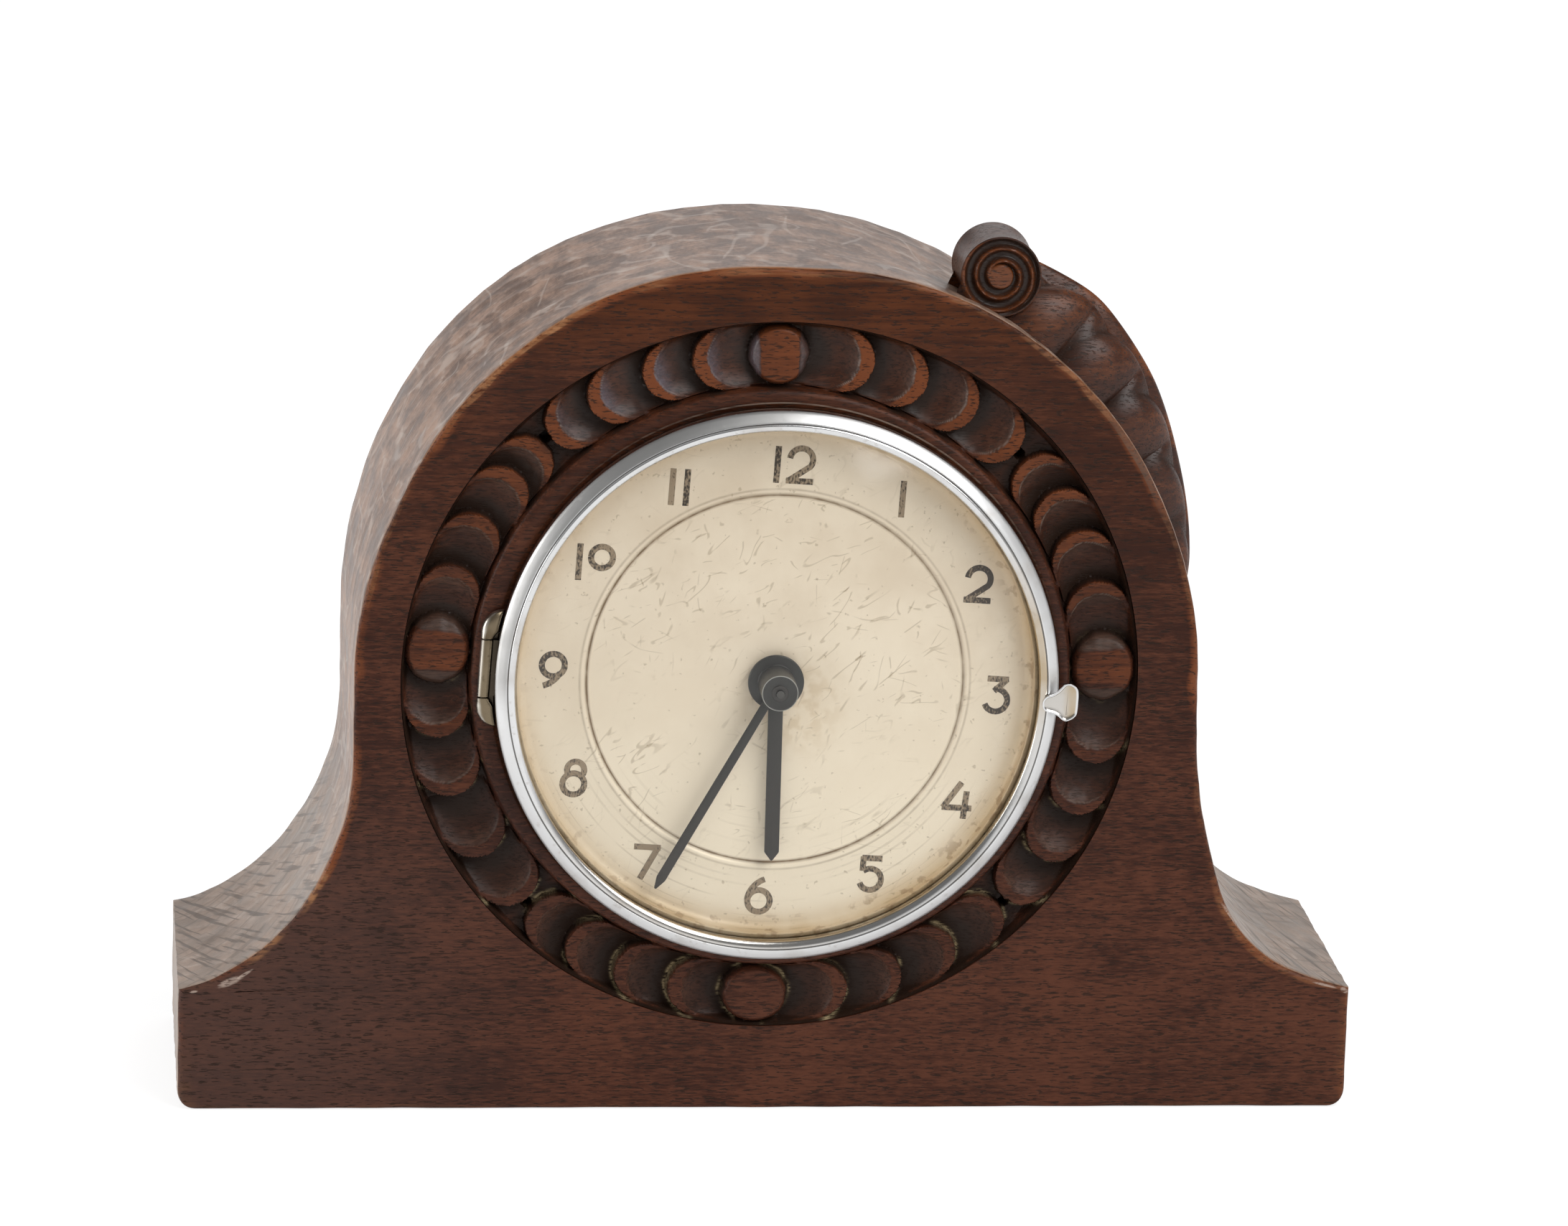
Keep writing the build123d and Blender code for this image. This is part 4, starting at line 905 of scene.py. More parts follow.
def at_outline(inset, y):
    fade = 1 - smooth_step(FRONT + 2, FRONT + 38, y)
    untrue = np.maximum(off_true, 0) + np.minimum(off_true, 0) * fade
    fuller = full_back * smooth_step(FRONT + 8, BACK - 8, y)
    flat = outline - outward * np.reshape(inset + dip * fade + untrue - fuller, (-1, 1))
    return np.stack([flat[:, 0], np.broadcast_to(y, len(flat)), flat[:, 1]], axis=1)


print("hollower by up to", round(off_true.max(), 1), "mm, fuller by", round(-off_true.min(), 1), "mm")

# %% [markdown]
# ## Wear of the edges
#
# The front edge is rounded by an uneven amount, less at the underside, where it stands on the shelf. Hands
# and dusters have rubbed it, most of all at the upper left and on the sweeps. These are numbers along the
# outline, so that the rows of the case can share them.

# %% Wear of the edges
off_floor = smooth_step(0.2, 4.0, up_z)
outer_cut *= off_floor[:, None]
edge_here = EDGE * (1 + 0.35 * drift(travel, 0 * travel, 9, 3)) * (0.45 + 0.55 * off_floor)
edge_wear = (0.75 + 0.5 * drift(travel, 0 * travel, 14, 8)) * (0.55 + 0.45 * smooth_step(34, 60, up_z))
rubbed_edge = np.clip(0.15 + 0.9 * hump(bearing, 122, 26) + 0.5 * hump(bearing, 62, 22), 0, 1)
rubbed_edge += np.where(across_x < 0, 0.7, 0.2) * smooth_step(36, 40, up_z) * smooth_step(80, 62, up_z)
rubbed_edge *= np.clip(0.55 + 0.9 * drift(travel, 0 * travel, 11, 18), 0, 1)
print("edge rounding from", round(edge_here.min(), 2), "to", round(edge_here.max(), 2), "mm")

# %% [markdown]
# ## Rows of the case
#
# The section of the case starts at the recess for the carved ring, crosses the front face, turns over the
# rounded edge and runs back along the tooled surface. It crosses the back, and comes forward through the
# back recess and the bore. An extruded outline would be quicker, but it could not wave, dip and swell.

# %% Rows of the case
RING_SEAT = 101.3
SEAT_FLOOR = -34.0
BACK_SEAT = 74.0
BACK_FLOOR = 15.0
BORE = 66.0
FRONT_STEPS = (0, 0.08, 0.24, 0.42, 0.58, 0.71, 0.81, 0.875, 0.915, 0.945, 0.965, 0.98, 0.99, 1.0)
front_cut = outer_cut[:, 0] * 0.7
back_cut = outer_cut[:, -1]
seat_edge = RING_SEAT + off_round(OUTER_SHIFT, swing)
front_inner = at_circle(seat_edge, FRONT)
front_outer = at_outline(edge_here + front_cut, FRONT)
rows, row_wear, row_edge = [], [], []
for t in FRONT_STEPS:
    point = front_inner * (1 - t) + front_outer * t
    hollow = 0.10 + 0.10 * drift(point[:, 0], point[:, 2], 34, 5)
    point[:, 1] += hollow * smooth_step(0, 0.1, t) * smooth_step(0, 0.12, 1 - t)
    rows.append(point)
    row_wear.append(0.7 * smooth_step(2.6, 0.2, np.linalg.norm(point - front_outer, axis=1)) * edge_wear)
    row_edge.append(rubbed_edge * smooth_step(0.975, 1.0, t))
for a in (radians(30), radians(60)):
    rows.append(at_outline(edge_here * (1 - sin(a)) + front_cut, FRONT + edge_here * (1 - cos(a))))
    row_wear.append(0.85 * edge_wear)
    row_edge.append(rubbed_edge)
outer_start = len(rows)
for y, cut in zip(outer_y, outer_cut.T):
    cut = cut * (1 - 0.3 * smooth_step(-40, FRONT + EDGE, y))
    rows.append(at_outline(cut, y + (edge_here - EDGE) * smooth_step(-41, FRONT + EDGE, y)))
    row_wear.append(0.5 * smooth_step(FRONT + 4.0, FRONT + EDGE, y) * edge_wear)
outer_end = len(rows)
for a in (radians(60), radians(30)):
    rows.append(at_outline(EDGE * (1 - sin(a)) + back_cut, BACK - EDGE * (1 - cos(a))))
    row_wear.append(0.5 * edge_wear)
for t in np.linspace(1, 0, 6):
    rows.append(at_circle(BACK_SEAT, BACK) * (1 - t) + at_outline(EDGE + back_cut, BACK) * t)
    row_wear.append(0.3 * smooth_step(0.9, 1.0, t) * edge_wear)
for radius, y in ((BACK_SEAT, BACK_FLOOR), (BORE, BACK_FLOOR), (BORE, SEAT_FLOOR), (seat_edge, SEAT_FLOOR)):
    rows.append(at_circle(radius, y))
    row_wear.append(0 * travel)
print(len(rows), "rows, tooled from", outer_start, "to", outer_end)

# %% [markdown]
# ## Case
#
# The rows become one closed skin. Front edges are marked as worn, and a painted grey sheen, standing in for a
# reflection, lies on the edge beside the leaf. The faces between the two edges take the tooled finish, and
# all others the waxed one.

# %% Case
skin = np.stack(rows, axis=1)
wear = np.stack(row_wear, axis=1)
edge = np.zeros(skin.shape[:2])
edge[:, :len(row_edge)] = np.stack(row_edge, axis=1)
film = np.zeros(skin.shape[:2])
# Painted sheen: a grey reflection painted on the front edge beside the leaf.
film[:, len(FRONT_STEPS) - 2:outer_start] = 0.8 * hump(bearing, 33, 7)[:, None]
ridge = np.zeros(skin.shape[:2])
ridge[:, outer_start:outer_end] = outer_ridge
tint = np.zeros(skin.shape[:2])
tint[:, outer_start:outer_end] = outer_tint
tooled = np.zeros(skin.shape[:2])
tooled[:, outer_start - 1:outer_end + 1] = 1
along = np.broadcast_to(travel[:, None], skin.shape[:2])
case = wrapped("case_skin", skin, wear=wear, edge=edge, film=film, ridge=ridge, tint=tint, tooled=tooled,
               along=along, deep=skin[..., 1])
case.data.materials.append(oak_face)
case.data.materials.append(oak_tooled)
is_tooled = np.zeros(len(case.data.vertices), dtype=np.float32)
case.data.attributes["tooled"].data.foreach_get("value", is_tooled)
for face in case.data.polygons:
    face.material_index = int(min(is_tooled[i] for i in face.vertices) > 0.5)
dress(case, "case", oak_face, ["case_body"])

# %% [markdown]
# ## Coins of the ring
#
# The ring is carved like a row of coins that slide off each boss. Each coin is tilted, with a crescent of
# flat land at its high edge and a gouged hollow behind it. The next coin starts under that edge. Every angle
# is measured, as no two coins were cut alike. The heights are worked out over the ring, from the last coin
# to the first, so each coin covers the one that it lies on. One coin, copied round, would look stamped.

# %% Coins of the ring
LIP = 82.4
RING = 101.2
FLOOR = -5.0
BAND = (LIP + RING) / 2
COIN = 9.15
RUNS = ((-1, (159.8, 150.3, 141.0, 134.3)), (1, (105.7, 114.5, 124.6, 133.0)), (-1, (74.3, 64.6, 54.8, 45.0)),
        (1, (18.1, 27.6, 35.7, 43.0)), (-1, (-14.8, -24.5, -34.1, -43.6)), (1, (-75.7, -65.7, -55.2, -45.0)),
        (-1, (-107.9, -117.8, -127.3, -135.7)), (1, (-170.0, -159.5, -147.6, -137.2)))
TILT = tan(radians(11))


def ring_flat(r, angle, centre):
    gap = (angle - radians(centre) + pi) % (2 * pi) - pi
    return r * np.cos(gap) - BAND, r * np.sin(gap)


def carve_coins(r, angle, chance):
    height = np.full_like(r, FLOOR) + 0.25 * drift(r * angle, r, 5, 21)
    land, bowl_part, step, rim, under, film = [np.zeros_like(r) for _ in range(6)]
    for way, edges in RUNS:
        for i, edge in reversed(list(enumerate(edges))):
            long = COIN * chance.uniform(0.97, 1.02)
            wide = COIN - chance.uniform(0.20, 0.50)
            a, b = ring_flat(r, angle, edge - way * np.degrees(long / BAND))
            b = b * way + 0.18 * drift(a * 3 + i * 40, b * 3, 5, 31)
            plane = -0.6 + chance.uniform(-0.5, 0.0) + (b - long) * TILT
            coin = np.hypot(a / wide, np.maximum(b, 0) / long)
            behind = np.where(b < -1.25 * long, 2.0, coin)
            onward = np.maximum(b + 0.34 * long, 0) / long / chance.uniform(0.90, 0.98)
            scoop = np.hypot(a / (0.96 * wide), onward)
            bowl = np.clip(1 - scoop ** 2, 0, 1)
            inside = smooth_step(0.0, 0.06, bowl)
            cover = smooth_step(1.02, 0.98, behind)
            ahead = smooth_step(-0.1, 0.4, b / long)
            height = height * (1 - cover) + (plane - 2.4 * bowl ** 0.68) * cover
            land = land * (1 - cover) + (1 - inside) * cover * ahead
            bowl_part = bowl_part * (1 - cover) + inside * cover
            # Painted highlight: a thin pale line at the inner edge of each land.
            rim = rim * (1 - cover) + hump(bowl, 0.07, 0.04) * inside * cover * ahead
            # A dark line along each coin's step: painted shade; the same line places the wax.
            step = step * (1 - cover) + hump(behind, 1.05, 0.045) * (1 - cover) * ahead
            # Painted shade under the edge of the coin above.
            shade = hump(np.maximum(behind - 1, 0), 0, 0.42) * ahead
            under = np.maximum(under, shade) * (1 - cover)
            # Painted sheen where a hollow rises to its land.
            film = film * (1 - cover) + inside * cover * smooth_step(0.0, 0.75, b / long)
    return height, land, bowl_part, rim, step, under, film


print(sum(len(edges) for _, edges in RUNS), "coins")

# %% [markdown]
# ## Bosses and holes of the ring
#
# Four bosses go on top of the coins, each with a flat face and a slope at both ends. Half way between them
# the ring is pierced by small round holes. The random numbers run on from the coins to the bosses, so the
# order of the calls matters.

# %% Bosses and holes of the ring
BOSSES = ((90.8, 8.45, 8.2, 5.0), (2.4, 10.0, 8.7, 5.0), (-92.3, 9.5, 8.6, 8.2), (174.8, 10.0, 8.7, 5.0))
HOLES = ((133.6, 0.9), (44.1, 0.3), (-44.1, 1.4), (-136.4, 1.3))


def add_bosses(carved, r, angle, chance):
    height, land, bowl_part, rim, step, under, film = carved
    for centre, along, across, flat in BOSSES:
        a, b = ring_flat(r, angle, centre)
        b = b + 0.25 * drift(a * 2, b, 4, 61)
        out = np.hypot(a / across, b / along)
        facet = chance.uniform(0.50, 0.60) * np.maximum(np.abs(b) - flat - 0.04 * a, 0)
        top = -0.35 - facet - 0.25 * out ** 2 - 1.9 * smooth_step(0.80, 1.04, out) ** 1.6
        cover = smooth_step(1.015, 0.985, out)
        height = height * (1 - cover) + top * cover
        land = land * (1 - cover) + cover * 0.85 * smooth_step(0.4, 0.1, facet) * smooth_step(1.0, 0.85, out)
        bowl_part = bowl_part * (1 - cover) + cover * 2.2 * smooth_step(0.1, 0.5, facet)
        rim *= 1 - cover
        # Painted sheen on the sloped ends of each boss.
        film = film * (1 - cover) + cover * 0.7 * smooth_step(0.1, 0.6, facet) * smooth_step(1.02, 0.9, out)
        # Painted shade just outside each boss.
        under = np.maximum(under, hump(np.maximum(out - 1, 0), 0, 0.25)) * (1 - cover)
        step = step * (1 - cover) + hump(out, 1.06, 0.05) * (1 - cover)
    return height, land, bowl_part, rim, step, under, film


def pierce(carved, r, angle):
    height, land, bowl_part, rim, step, under, film = carved
    for centre, aside in HOLES:
        a, b = ring_flat(r, angle, centre)
        pit = smooth_step(1.55, 1.2, np.hypot(a - aside, b))
        height = height * (1 - pit) - 11 * pit
        land, bowl_part, rim, step, film = [part * (1 - pit) for part in (land, bowl_part, rim, step, film)]
    return height, land, bowl_part, rim, step, under, film


def carve(r, angle):
    chance = np.random.default_rng(5)
    carved = carve_coins(r, angle, chance)
    carved = add_bosses(carved, r, angle, chance)
    return pierce(carved, r, angle)


print(len(BOSSES), "bosses,", len(HOLES), "holes")

# %% [markdown]
# ## Lip of the ring
#
# Inside the carving the ring has a plain lip with a bright line, rubbed at the top. The rows of the ring run
# round it, and each row keeps its marks for the finish. A row near the carving moves with the ring's two
# edges, which are not quite round.

# %% Lip of the ring
LIP_BORE = 74.4
AROUND = 1440
section = [(LIP_BORE, -12.0, 0, 0), (LIP_BORE, -1.0, 0, 0), (76.0, -0.45, 0, 0), (78.95, -0.42, 0, 0),
           (79.1, -0.3, 0, 0.8), (79.4, -0.12, 0, 0.8), (79.6, -0.06, 0.05, 0), (81.0, -0.08, 0.1, 0),
           (81.8, -0.45, 0.35, 0), (82.2, -1.1, 0.2, 0)]
turn = np.linspace(0, 2 * pi, AROUND, endpoint=False)
ring_marks = {name: [] for name in ("wear", "grime", "gloss", "pale", "wax", "film")}
ring_rows = []
outer_shift = off_round(OUTER_SHIFT, turn)
inner_shift = off_round(INNER_SHIFT, turn)


def toward_angle(bearing, centre, spread):
    gap = (bearing - centre + 180) % 360 - 180
    return hump(gap, 0, spread)


def near_angle(centre, spread):
    return toward_angle(np.degrees(turn), centre, spread)


def add_row(r, w, **marks):
    inner_part = smooth_step(79.8, LIP, r)
    outer_part = np.clip((r - LIP) / (RING - LIP), 0, 1)
    moved = r + inner_shift * inner_part * (1 - outer_part) + outer_shift * outer_part
    ring_rows.append(np.stack([moved, turn, w + 0 * turn], axis=1))
    for name, values in ring_marks.items():
        values.append(marks.get(name, 0) + 0 * turn)


for r, w, worn, pale in section:
    waver = 0.12 * drift(turn * 80, 0 * turn + r, 12, 41) - 0.12 if w > -0.6 else 0
    add_row(r, w + waver, wear=worn, gloss=0.15, pale=pale * near_angle(76, 40))
print(len(ring_rows), "rows on the lip")

# %% [markdown]
# ## Carved ring
#
# A groove with a sloping wall parts the carving from the front face. The lands are rubbed, more at the top
# than below, which partly paints light from above. Painted shade, with some dirt, lies under the coins, in
# the hollows, deep down, in the groove and more in the lower half, a painted sheen where a hollow rises to
# its land, and old wax in the corners low down. All of this follows from the heights, so it is marked row by
# row.

# %% Carved ring
BAND_ROWS = 56
WALL = 99.7
# Wear on the lands, lighter towards the top: partly painted light from above.
rub = np.clip(0.40 + 0.46 * np.sin(turn) + 0.25 * drift(turn * 60, 0 * turn, 17, 51), 0.08, 1)
sheen = 0.20 + 0.80 * near_angle(113, 27) + 0.30 * near_angle(64, 24)
# Lower half of the ring: more painted shade, and more wax.
low_down = smooth_step(0.3, -0.7, np.sin(turn))
waxy = low_down * (1.0 + 0.6 * near_angle(-92, 22))
# How strong the painted sheen is round the ring, most at the upper left.
veil = 0.42 + 0.5 * near_angle(115, 24) + 0.2 * near_angle(0, 20) + 0.2 * near_angle(175, 20)
veil = veil - 0.05 * low_down
for r in np.linspace(LIP + 0.05, RING - 0.08, BAND_ROWS):
    w, land, bowl, rim, step, under, film = carve(r + 0 * turn, turn)
    outer_wall = FLOOR + (r - WALL) * 4.7 / 1.5
    inner_wall = -1.3 - (r - LIP) * 4.4 / 0.9
    on_wall = (r > WALL) * smooth_step(-0.3, 0.3, outer_wall - w)
    w = np.maximum(np.minimum(w, -0.25), max(outer_wall, inner_wall, -12.0))
    # Painted shade: deep places, the steps, the outer groove and its wall are darkened.
    dirt = smooth_step(-4.8, -7.0, w) + 0.75 * step + 0.8 * smooth_step(100.5, 101.0, r) + 0.25 * on_wall
    # Hollows, and the lower half, are darkened further as painted shade.
    hollow = bowl * (1 - 0.75 * film)
    dirt = np.maximum(dirt, 0.9 * under) + 0.34 * hollow + low_down * (0.12 * (1 - land) + 0.15 * hollow)
    patchy = smooth_step(0.0, 0.5, drift(turn * 92, r + 0 * turn, 4.6, 77))
    patchy = np.maximum(patchy, near_angle(-108, 4) + 0.7 * near_angle(-81, 4))
    add_row(r, w, wear=rub * land * (1 - on_wall), grime=dirt, gloss=bowl * (1 - on_wall) * sheen,
            pale=0.5 * rim * rub, wax=waxy * step * patchy, film=film * veil * (1 - on_wall))
# The foot of the outer groove is darkened fully, as painted shade.
for w in (-6.4, -12.0):
    add_row(RING, w, grime=1)
polar = np.stack(ring_rows, axis=1)
ring_skin = np.stack([polar[..., 0] * np.cos(polar[..., 1]), FRONT - polar[..., 2],
                      DIAL_Z + polar[..., 0] * np.sin(polar[..., 1])], axis=-1)
marks_on_ring = {name: np.stack(values, axis=1) for name, values in ring_marks.items()}
ring = wrapped("carved_ring", ring_skin, **marks_on_ring)
dress(ring, "case", oak_face, ["carved_surround"], angle=50)

# %% [markdown]
# ## Dial
#
# The dial is a spun sheet: a sunk middle, a rounded step, a flat chapter ring and an upturned rim that comes
# up close behind the bezel. Its section is turned like a lathe piece. A darker colour marks the step, most of
# all on the left and below, and the top of the rim. It is marked by the distance from the axis.

# %% Dial
FACE = -2.5
SUNK = -3.2
SHEET = 0.25


def quarter_bend(centre, radius, start, end, count=8):
    return [(centre[0] + radius * cos(radians(start + (end - start) * i / count)),
             centre[1] + radius * sin(radians(start + (end - start) * i / count))) for i in range(count + 1)]


def all_points(piece):
    points = np.zeros(len(piece.data.vertices) * 3, dtype=np.float32)
    piece.data.vertices.foreach_get("co", points)
    return points.reshape(-1, 3) / MM


def from_axis(piece):
    x, y, z = all_points(piece).T
    return np.hypot(x, z - DIAL_Z), FRONT - y, np.degrees(np.arctan2(z - DIAL_Z, x))


front_side = [(4.1, SUNK), (30, SUNK), (51.8, SUNK), (52.3, SUNK), (52.55, SUNK - 0.1), (52.9, SUNK + 0.05),
              (53.3, FACE - 0.2), (53.6, FACE + 0.02), (54.0, FACE + 0.1), (54.5, FACE + 0.06), (55.0, FACE),
              (62, FACE), (69.4, FACE)]
edge_side = quarter_bend((69.4, FACE + 2.6), 2.6, -90, 0) + [(72.0, 1.95), (72.2, 2.15), (72.9, 2.2)]
rear_side = [(73.1, 2.1), (73.15, 1.8), (72.75, 1.45), (72.4, -1.2), (70.5, FACE - SHEET),
             (55.0, FACE - SHEET), (53.0, SUNK - SHEET), (4.1, SUNK - SHEET)]
dial = turned("dial_face", front_side + edge_side + rear_side)
out, _, where = from_axis(dial)
fouled = 0.75 + 0.3 * np.maximum(toward_angle(where, 180, 60), toward_angle(where, -95, 50))
on_step = fouled * hump(out, 52.6, 0.34) + 0.4 * hump(out, 54.6, 0.25)
mark(dial, "grime", on_step + 0.45 * smooth_step(72.0, 72.3, out))
dress(dial, "case", silvered, ["dial_plate"], angle=40)

# %% [markdown]
# ## Numerals
#
# Every numeral is drawn with a few strokes of one width: straight runs and arcs. A stroke becomes a very
# thin plate on the dial. The figures stand upright on the dial, as printed. A font would be quicker, but no
# font at hand has these open, round shapes.

# %% Numerals
STROKE = 1.70
INK = 0.05
HOUR_RADIUS = 62.0
TWELVE_RADIUS = 61.3


def curve(x, y, radius, start, end, count=18):
    turn = np.radians(np.linspace(start, end, count + 1))
    return list(zip(x + radius * np.cos(turn), y + radius * np.sin(turn)))


FIGURES = {
    "1": [[(0, 5.2), (0, -5.2)]],
    "2": [curve(0.3, 1.75, 3.2, 176, -34) + [(-3.2, -4.6)], [(-3.6, -4.35), (4.0, -4.35)]],
    "3": [[(-2.7, 4.5), (3.3, 4.5)], [(2.9, 4.6), (-0.6, 1.0)], curve(0.1, -1.6, 3.25, 102, -158)],
    "4": [[(1.1, 5.3), (-3.7, -2.2)], [(-4.0, -2.1), (4.4, -2.1)], [(2.7, 2.8), (2.2, -5.2)]],
    "5": [[(-2.3, 4.4), (3.4, 4.4)], [(-1.9, 4.8), (-1.9, 0.6)], curve(0.4, -1.75, 3.1, 132, -158)],
    "6": [curve(0.6, -1.8, 3.15, 150, 330), curve(0.6, -1.8, 3.15, -30, 150),
          curve(4.6, -2.2, 7.3, 112, 176)],
    "7": [[(-4.0, 3.95), (3.5, 3.95)], [(2.9, 4.3), (-1.7, -5.3)]],
    "8": [curve(0.25, -2.05, 3.05, 0, 180), curve(0.25, -2.05, 3.05, 180, 360),
          curve(0.6, 2.0, 2.4, -30, 210)],
    "9": [curve(0, 0.6, 3.2, 0, 180), curve(0, 0.6, 3.2, 180, 360), curve(-4.8, 1.8, 7.6, -26, -72)],
    "0": [curve(0.2, 1.6, 3.05, 0, 180), curve(0.2, 1.6, 3.05, 180, 360)],
}
HOURS = {1: ["1"], 2: ["2"], 3: ["3"], 4: ["4"], 5: ["5"], 6: ["6"], 7: ["7"], 8: ["8"], 9: ["9"],
         10: ["1", "0"], 11: ["1", "1"], 12: ["1", "2"]}
SPREAD = {2: (0.4,), 7: (-0.5,), 8: (-0.4,), 10: (-3.4, 2.6), 11: (-2.1, 1.95), 12: (-4.5, 1.75)}
FADED = {1: (0.15,), 4: (0.5,), 5: (0.65,), 6: (0.45,), 7: (0.6,), 8: (0.65,), 9: (0.2,), 10: (0.25, 0.1),
         11: (0.9, 0.2)}
LOWER = {2: 0.4, 3: 0.4, 4: 0.5, 5: 0.3, 7: 0.3, 10: 0.6, 11: 0.5}


def ribbon(line, width):
    line = np.array(line, float)
    along = unit(np.gradient(line, axis=0))
    side = np.stack([-along[:, 1], along[:, 0]], axis=1) * width / 2
    return np.concatenate([line + side, (line - side)[::-1]])


strokes = []
for hour, figures in HOURS.items():
    angle = pi / 2 - hour * pi / 6
    reach = TWELVE_RADIUS if hour == 12 else HOUR_RADIUS
    centre = np.array([cos(angle), sin(angle)]) * reach - (0, LOWER.get(hour, 0))
    for figure, aside, faded in zip(figures, SPREAD.get(hour, (0,)), FADED.get(hour, (0, 0))):
        for line in FIGURES[figure]:
            height = FACE + INK + 0.002 * (len(strokes) % 5)
            stroke = plate("stroke", ribbon(line, STROKE) + centre + (aside, 0), FACE - 0.02, height)
            mark(stroke, "faded", np.full(len(stroke.data.vertices), faded))
            strokes.append(stroke)
numerals = join("numerals", strokes)
dress(numerals, "case", ink)

# %% [markdown]
# ## Bezel
#
# The chromed bezel is turned: a tall side, a broad brushed bevel, a fine line and a bright inner band. The
# bevel is painted grey at the upper left and the inner band grey low on the right, as painted darker
# reflections, and the inner band is tarnished at the right. Dirt and painted shade darken the fine line, and
# painted shade the low side. The marks follow the distance from the axis and the bearing, so they need no
# picture wrapped round the ring.

# %% Bezel
BEZEL = 78.5
bezel_section = [(76.2, 1.2), (BEZEL, 1.2), (BEZEL, 3.4), (BEZEL, 5.3), (78.3, 5.75), (77.6, 6.35),
                 (76.6, 7.05), (75.6, 7.72), (75.25, 7.86), (75.1, 7.6), (74.95, 7.6), (74.8, 7.95),
                 (74.4, 8.12), (73.8, 7.95), (73.2, 7.65), (72.85, 7.25), (72.8, 6.4), (72.8, 5.65),
                 (76.2, 5.65)]
bezel = soften(turned("bezel", bezel_section, steps=288), 0.08, 2, 30)
out, lift, where = from_axis(bezel)
bevel = smooth_step(75.2, 75.6, out) * smooth_step(5.4, 5.8, lift)
inner_band = smooth_step(75.0, 74.8, out) * (lift > 6)
mark(bezel, "brushed", bevel)
upper_left = smooth_step(74, 90, where % 360) * smooth_step(187, 178, where % 360)
# Painted reflection: the bevel is greyed at the upper left and the inner band low on the right.
mark(bezel, "dull", bevel * 0.85 * upper_left + 0.75 * inner_band * toward_angle(where, -60, 45))
tarnished = 0.8 * toward_angle(where, 8, 17) + 0.25 * toward_angle(where, -110, 30)
mark(bezel, "tarnish", inner_band * tarnished + 0.7 * smooth_step(73.0, 72.8, out))
# Dark fine line, dirt and painted shade, and painted shade on the low side wall.
mark(bezel, "grime", hump(out, 75.03, 0.12) * (lift > 7) + 0.6 * smooth_step(3.6, 1.6, lift))
dress(bezel, "door", chrome, ["bezel_ring"], angle=28)

# %% [markdown]
# ## Glass dome
#
# The domed glass is a thin shell, clamped under the inner band of the bezel, and a split ring behind holds
# it. Its section is two arcs from the axis to the rim and back, left open on the axis and spun.

# %% Glass dome
DOME = 190.0
INNER_DOME = 188.0
DOME_TOP = 20.05
GLASS_RADIUS = 75.8
dome_centre = DOME_TOP - DOME
lean = np.arcsin(GLASS_RADIUS / DOME)
inner_lean = np.arcsin(GLASS_RADIUS / INNER_DOME)
outer_shell = [(DOME * sin(a), dome_centre + DOME * cos(a)) for a in np.linspace(0, lean, 25)]
inner_shell = [(INNER_DOME * sin(a), dome_centre + INNER_DOME * cos(a))
               for a in np.linspace(inner_lean, 0, 25)]
dome = turned("glass_dome", outer_shell + inner_shell, steps=192, closed=False)
dress(dome, "door", glass, ["dial_glass"], angle=30)

# %% [markdown]
# ## Hour hand
#
# Both hands are flat batons with a short point, stamped from sheet and lacquered black, so a drawn outline is
# extruded and its edges are softened. The hour hand sits on a turned collar.

# %% Hour hand
TIP = 0.3
TIP_HALF = 0.35


def baton(name, angle, start, length, root_width, tip_width, taper, low, high):
    turn = radians(90 - angle)
    shape = [(start, root_width / 2), (length - taper, tip_width / 2), (length - TIP, TIP_HALF), (length, 0),
             (length - TIP, -TIP_HALF), (length - taper, -tip_width / 2), (start, -root_width / 2)]
    outline = [(x * cos(turn) - y * sin(turn), x * sin(turn) + y * cos(turn)) for x, y in shape]
    return soften(plate(name, outline, low, high), 0.18, 2, 25)


hour_blade = baton("hour_blade", angle=176.8, start=3.0, length=51.2, root_width=4.1, tip_width=4.1,
                   taper=2.6, low=0.4, high=1.2)
hour_collar = [(4.15, -0.6), (7.6, -0.6), (7.8, -0.4), (7.8, 0.2), (7.6, 0.4), (5.2, 0.4), (5.0, 0.6),
               (5.0, 2.5), (4.8, 2.7), (4.15, 2.7)]
hour_hub = turned("hour_hub", hour_collar, steps=96)
hour_hand = join("hour_hand_dressed", [hour_blade, hour_hub])
out, _, _ = from_axis(hour_hand)
mark(hour_hand, "deep", 0.8 * smooth_step(8.2, 7.8, out))
dress(hour_hand, "hour_group", lacquer, ["hour_hand"])

# %% [markdown]
# ## Minute hand and nut
#
# The minute hand is made in the same way, on a tall turned hub. The hub's thin rim gets a painted glint, a
# mark of its own. A flat nut with a small centre closes the hub.

# %% Minute hand and nut
minute_blade = baton("minute_blade", angle=206.0, start=3.0, length=67.0, root_width=2.4, tip_width=2.7,
                     taper=3.4, low=3.4, high=4.2)
minute_pipe = [(1.3, 3.0), (4.9, 3.0), (5.1, 3.2), (5.1, 12.2), (5.08, 12.4), (4.95, 12.6), (4.8, 12.62),
               (4.6, 12.5), (1.3, 12.4)]
minute_hub = turned("minute_hub", minute_pipe, steps=96)
minute_hand = join("minute_hand_dressed", [minute_blade, minute_hub])
out, lift, _ = from_axis(minute_hand)
mark(minute_hand, "deep", 0.8 * smooth_step(5.4, 5.1, out))
# Painted glint on the thin rim at the top of the hub.
mark(minute_hand, "bright", hump(out, 4.95, 0.1) * smooth_step(12.3, 12.5, lift))
dress(minute_hand, "minute_group", lacquer, ["minute_hand"])

